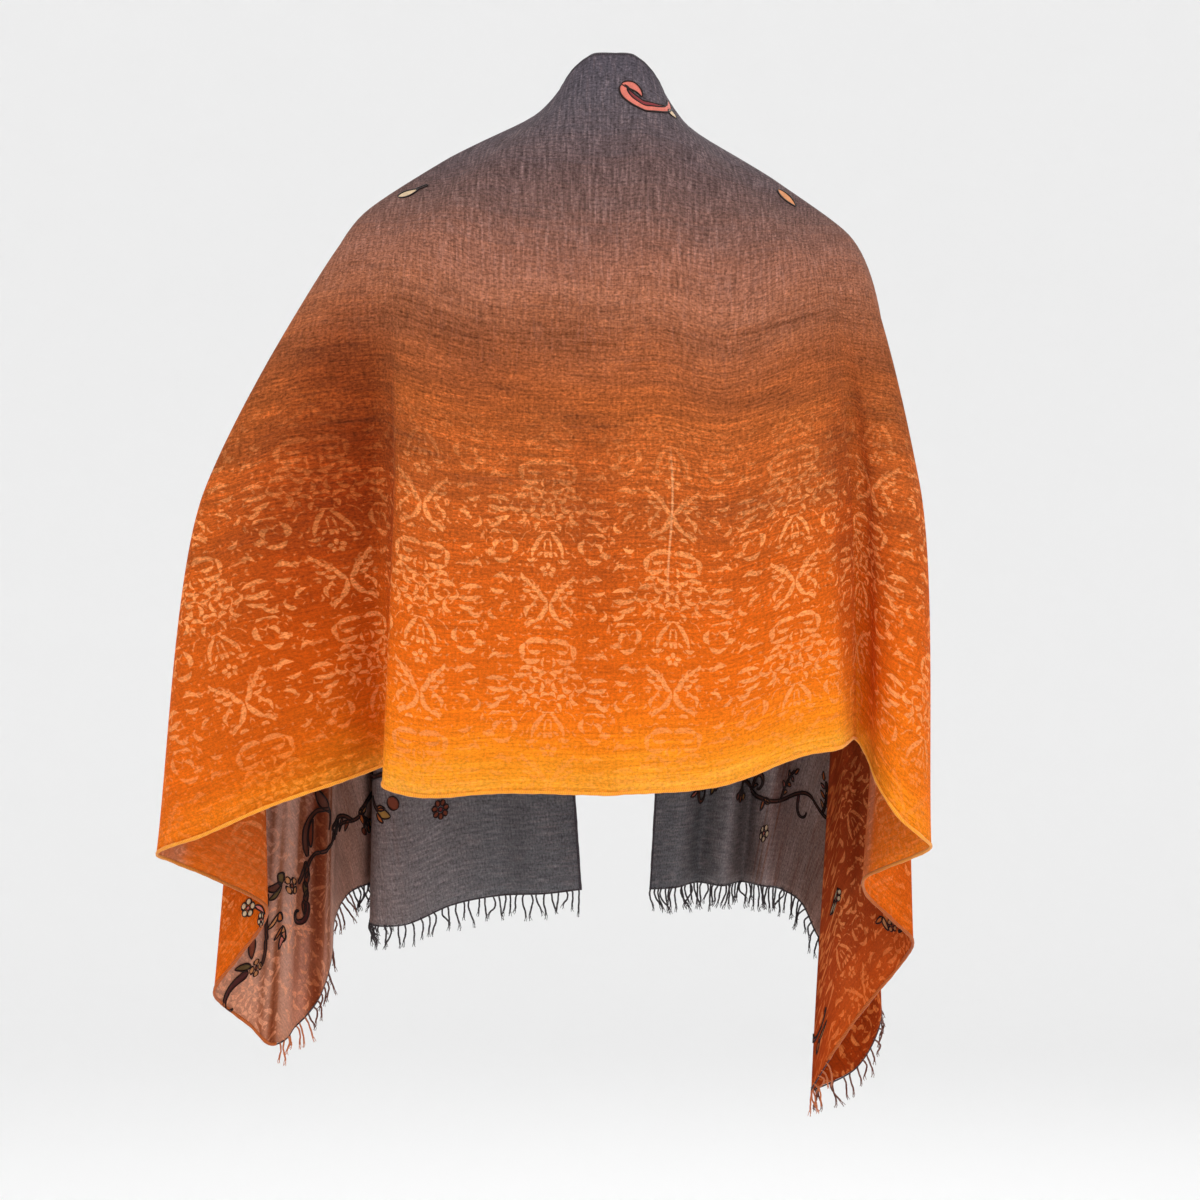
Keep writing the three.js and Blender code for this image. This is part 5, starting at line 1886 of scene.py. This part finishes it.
        piece = parts.piece(f"{side}_embroidery_{'face' if face > 0 else 'reverse'}")
        for thread in order:
            piece.data.materials.append(thread_finish(thread, face).material())
        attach(piece, "root")
        return piece


REVERSE_BROWN = np.array([84.0, 40.0, 26.0])
REVERSE_SHARE = 0.14                  # of the brown in the colours of the reverse
THREAD_SHADE = 0.62


def thread_finish(thread: Thread, face: int) -> YarnFinish:
    """The finish of one embroidery thread: glossy on the outer face, dull and browner on the reverse.

    Args:
        thread: the thread.
        face: 1 for the outer face, -1 for the reverse.

    Returns:
        Its finish.
    """
    colour = np.array(thread.value, float)
    if face < 0:
        colour = colour * (1 - REVERSE_SHARE) + REVERSE_BROWN * REVERSE_SHARE
    shade = colour * THREAD_SHADE
    side = "face" if face > 0 else "reverse"
    return YarnFinish(f"embroidery thread, {thread.name.lower()}, {side}", linear(*colour), linear(*shade),
                      pitch=0.0009, slant=0.35, sheen=0.04, roughness=0.5 if face > 0 else 0.7)


# ---- The studio --------------------
PAPER, PAPER_SHADE = (0.94, 0.94, 0.94, 1), (0.88, 0.88, 0.88, 1)
# The soft lights. Columns: name, place in metres, size, power.
LIGHTS = (
    ("key", (-1.8, -2.8, 1.5), 1.4, 34.0),
    ("fill", (2.4, -2.2, 0.7), 1.8, 28.0),
    ("rim", (0.6, 2.8, 1.6), 1.6, 22.0),
)


@dataclass(frozen=True)
class Studio:
    """Camera behind the wearer at elbow height, soft light from both sides and a pale sweep."""
    distance: float = 3.0
    height: float = -0.432
    aside: float = -0.0108
    lens: float = 100.0
    sensor: float = 36.0
    floor: float = -1.5
    flat_radius: float = 5.0          # of the floor, which curves up round it
    curve_radius: float = 2.0
    wall_top: float = 7.0
    first_ring: float = 0.02
    rings: int = 12                   # on the floor, and on its curve
    sectors: int = 48
    room_light: float = 0.95

    def camera(self) -> None:
        """Makes the scene's camera, level and looking the way the wearer faces."""
        data = bpy.data.cameras.new("camera")
        data.lens, data.sensor_width = self.lens, self.sensor
        camera = bpy.data.objects.new("camera", data)
        camera.location = (self.aside, -self.distance, self.height)
        camera.rotation_euler = (math.pi / 2, 0, 0)
        bpy.context.scene.collection.objects.link(camera)
        bpy.context.scene.camera = camera

    def light(self, name: str, place: Triple, size: float, power: float) -> None:
        """Adds a soft square light that looks at the middle of the stole.

        Args:
            name: its name.
            place: where it stands, in metres.
            size: its side, in metres.
            power: in watts.
        """
        data = bpy.data.lights.new(name, "AREA")
        data.energy, data.size = power, size
        lamp = bpy.data.objects.new(name, data)
        middle = np.array([0.0, 0.0, self.height])
        back = unit(np.array(place) - middle)
        lamp.location = place
        lamp.rotation_euler = (math.acos(back[2]), 0.0, math.atan2(back[1], back[0]) + math.pi / 2)
        bpy.context.scene.collection.objects.link(lamp)

    def sweep(self) -> None:
        """Lays a pale floor that curves up into a wall on every side, as a shallow round dish."""
        bend = np.linspace(0, np.pi / 2, self.rings)[1:]
        wall = self.flat_radius + self.curve_radius
        radius = np.concatenate([np.linspace(self.first_ring, self.flat_radius, self.rings),
                                 self.flat_radius + self.curve_radius * np.sin(bend), [wall]])
        rise = np.concatenate([np.zeros(self.rings), self.curve_radius - self.curve_radius * np.cos(bend),
                               [self.wall_top]])
        turn = np.linspace(0, 2 * np.pi, self.sectors, endpoint=False)
        level = np.broadcast_to((self.floor + rise)[:, None], (len(radius), len(turn)))
        points = np.stack([radius[:, None] * np.cos(turn), radius[:, None] * np.sin(turn), level], axis=-1)
        faces = grid_faces(len(radius), len(turn), closed_columns=True, turned=True).tolist()
        floor = new_piece("studio_sweep", points.reshape(-1, 3) / MM, faces)
        material, g, output = start_material("pale paper")
        tone = g.noise(g.node("ShaderNodeTexCoord").outputs["Object"], 3.0)
        colour = g.blend(g.product(tone, 0.05), PAPER, PAPER_SHADE)
        shader = g.node("ShaderNodeBsdfPrincipled", {"Base Color": colour, "Roughness": 0.95})
        g.feed(output.inputs[0], shader.outputs[0])
        floor.data.materials.append(material)

    def build(self) -> None:
        """Sets up the camera, the lights, the floor and the surrounding light."""
        scene = bpy.context.scene
        scene.view_settings.view_transform = "Standard"
        self.camera()
        for row in LIGHTS:
            self.light(*row)
        self.sweep()
        world = bpy.data.worlds.new("soft white room")
        world.use_nodes = True
        background = world.node_tree.nodes["Background"]
        background.inputs["Color"].default_value = WHITE
        background.inputs["Strength"].default_value = self.room_light
        scene.world = world


def triangles(piece: Piece) -> int:
    """How many triangles a piece's mesh has."""
    return sum(len(polygon.vertices) - 2 for polygon in piece.data.polygons)


def main() -> None:
    logging.basicConfig(level=logging.INFO, format="%(message)s")
    Studio().build()
    drape, groups = Drape(), WeaveGroups()
    cloth = StoleCloth(drape).build(groups)
    hems = RolledHems(drape).build()
    fringes = [Fringes(drape).build(side) for side in ("left", "right")]
    sewing = Embroidery(drape, StoleCloth.thickness / 2)
    stitches = [sewing.build(side, face) for side in ("left", "right") for face in (1, -1)]
    for piece in (cloth, *hems, *fringes, *stitches):
        LOG.info("%s: %d triangles", piece.name, triangles(piece))


if __name__ == "__main__":
    main()
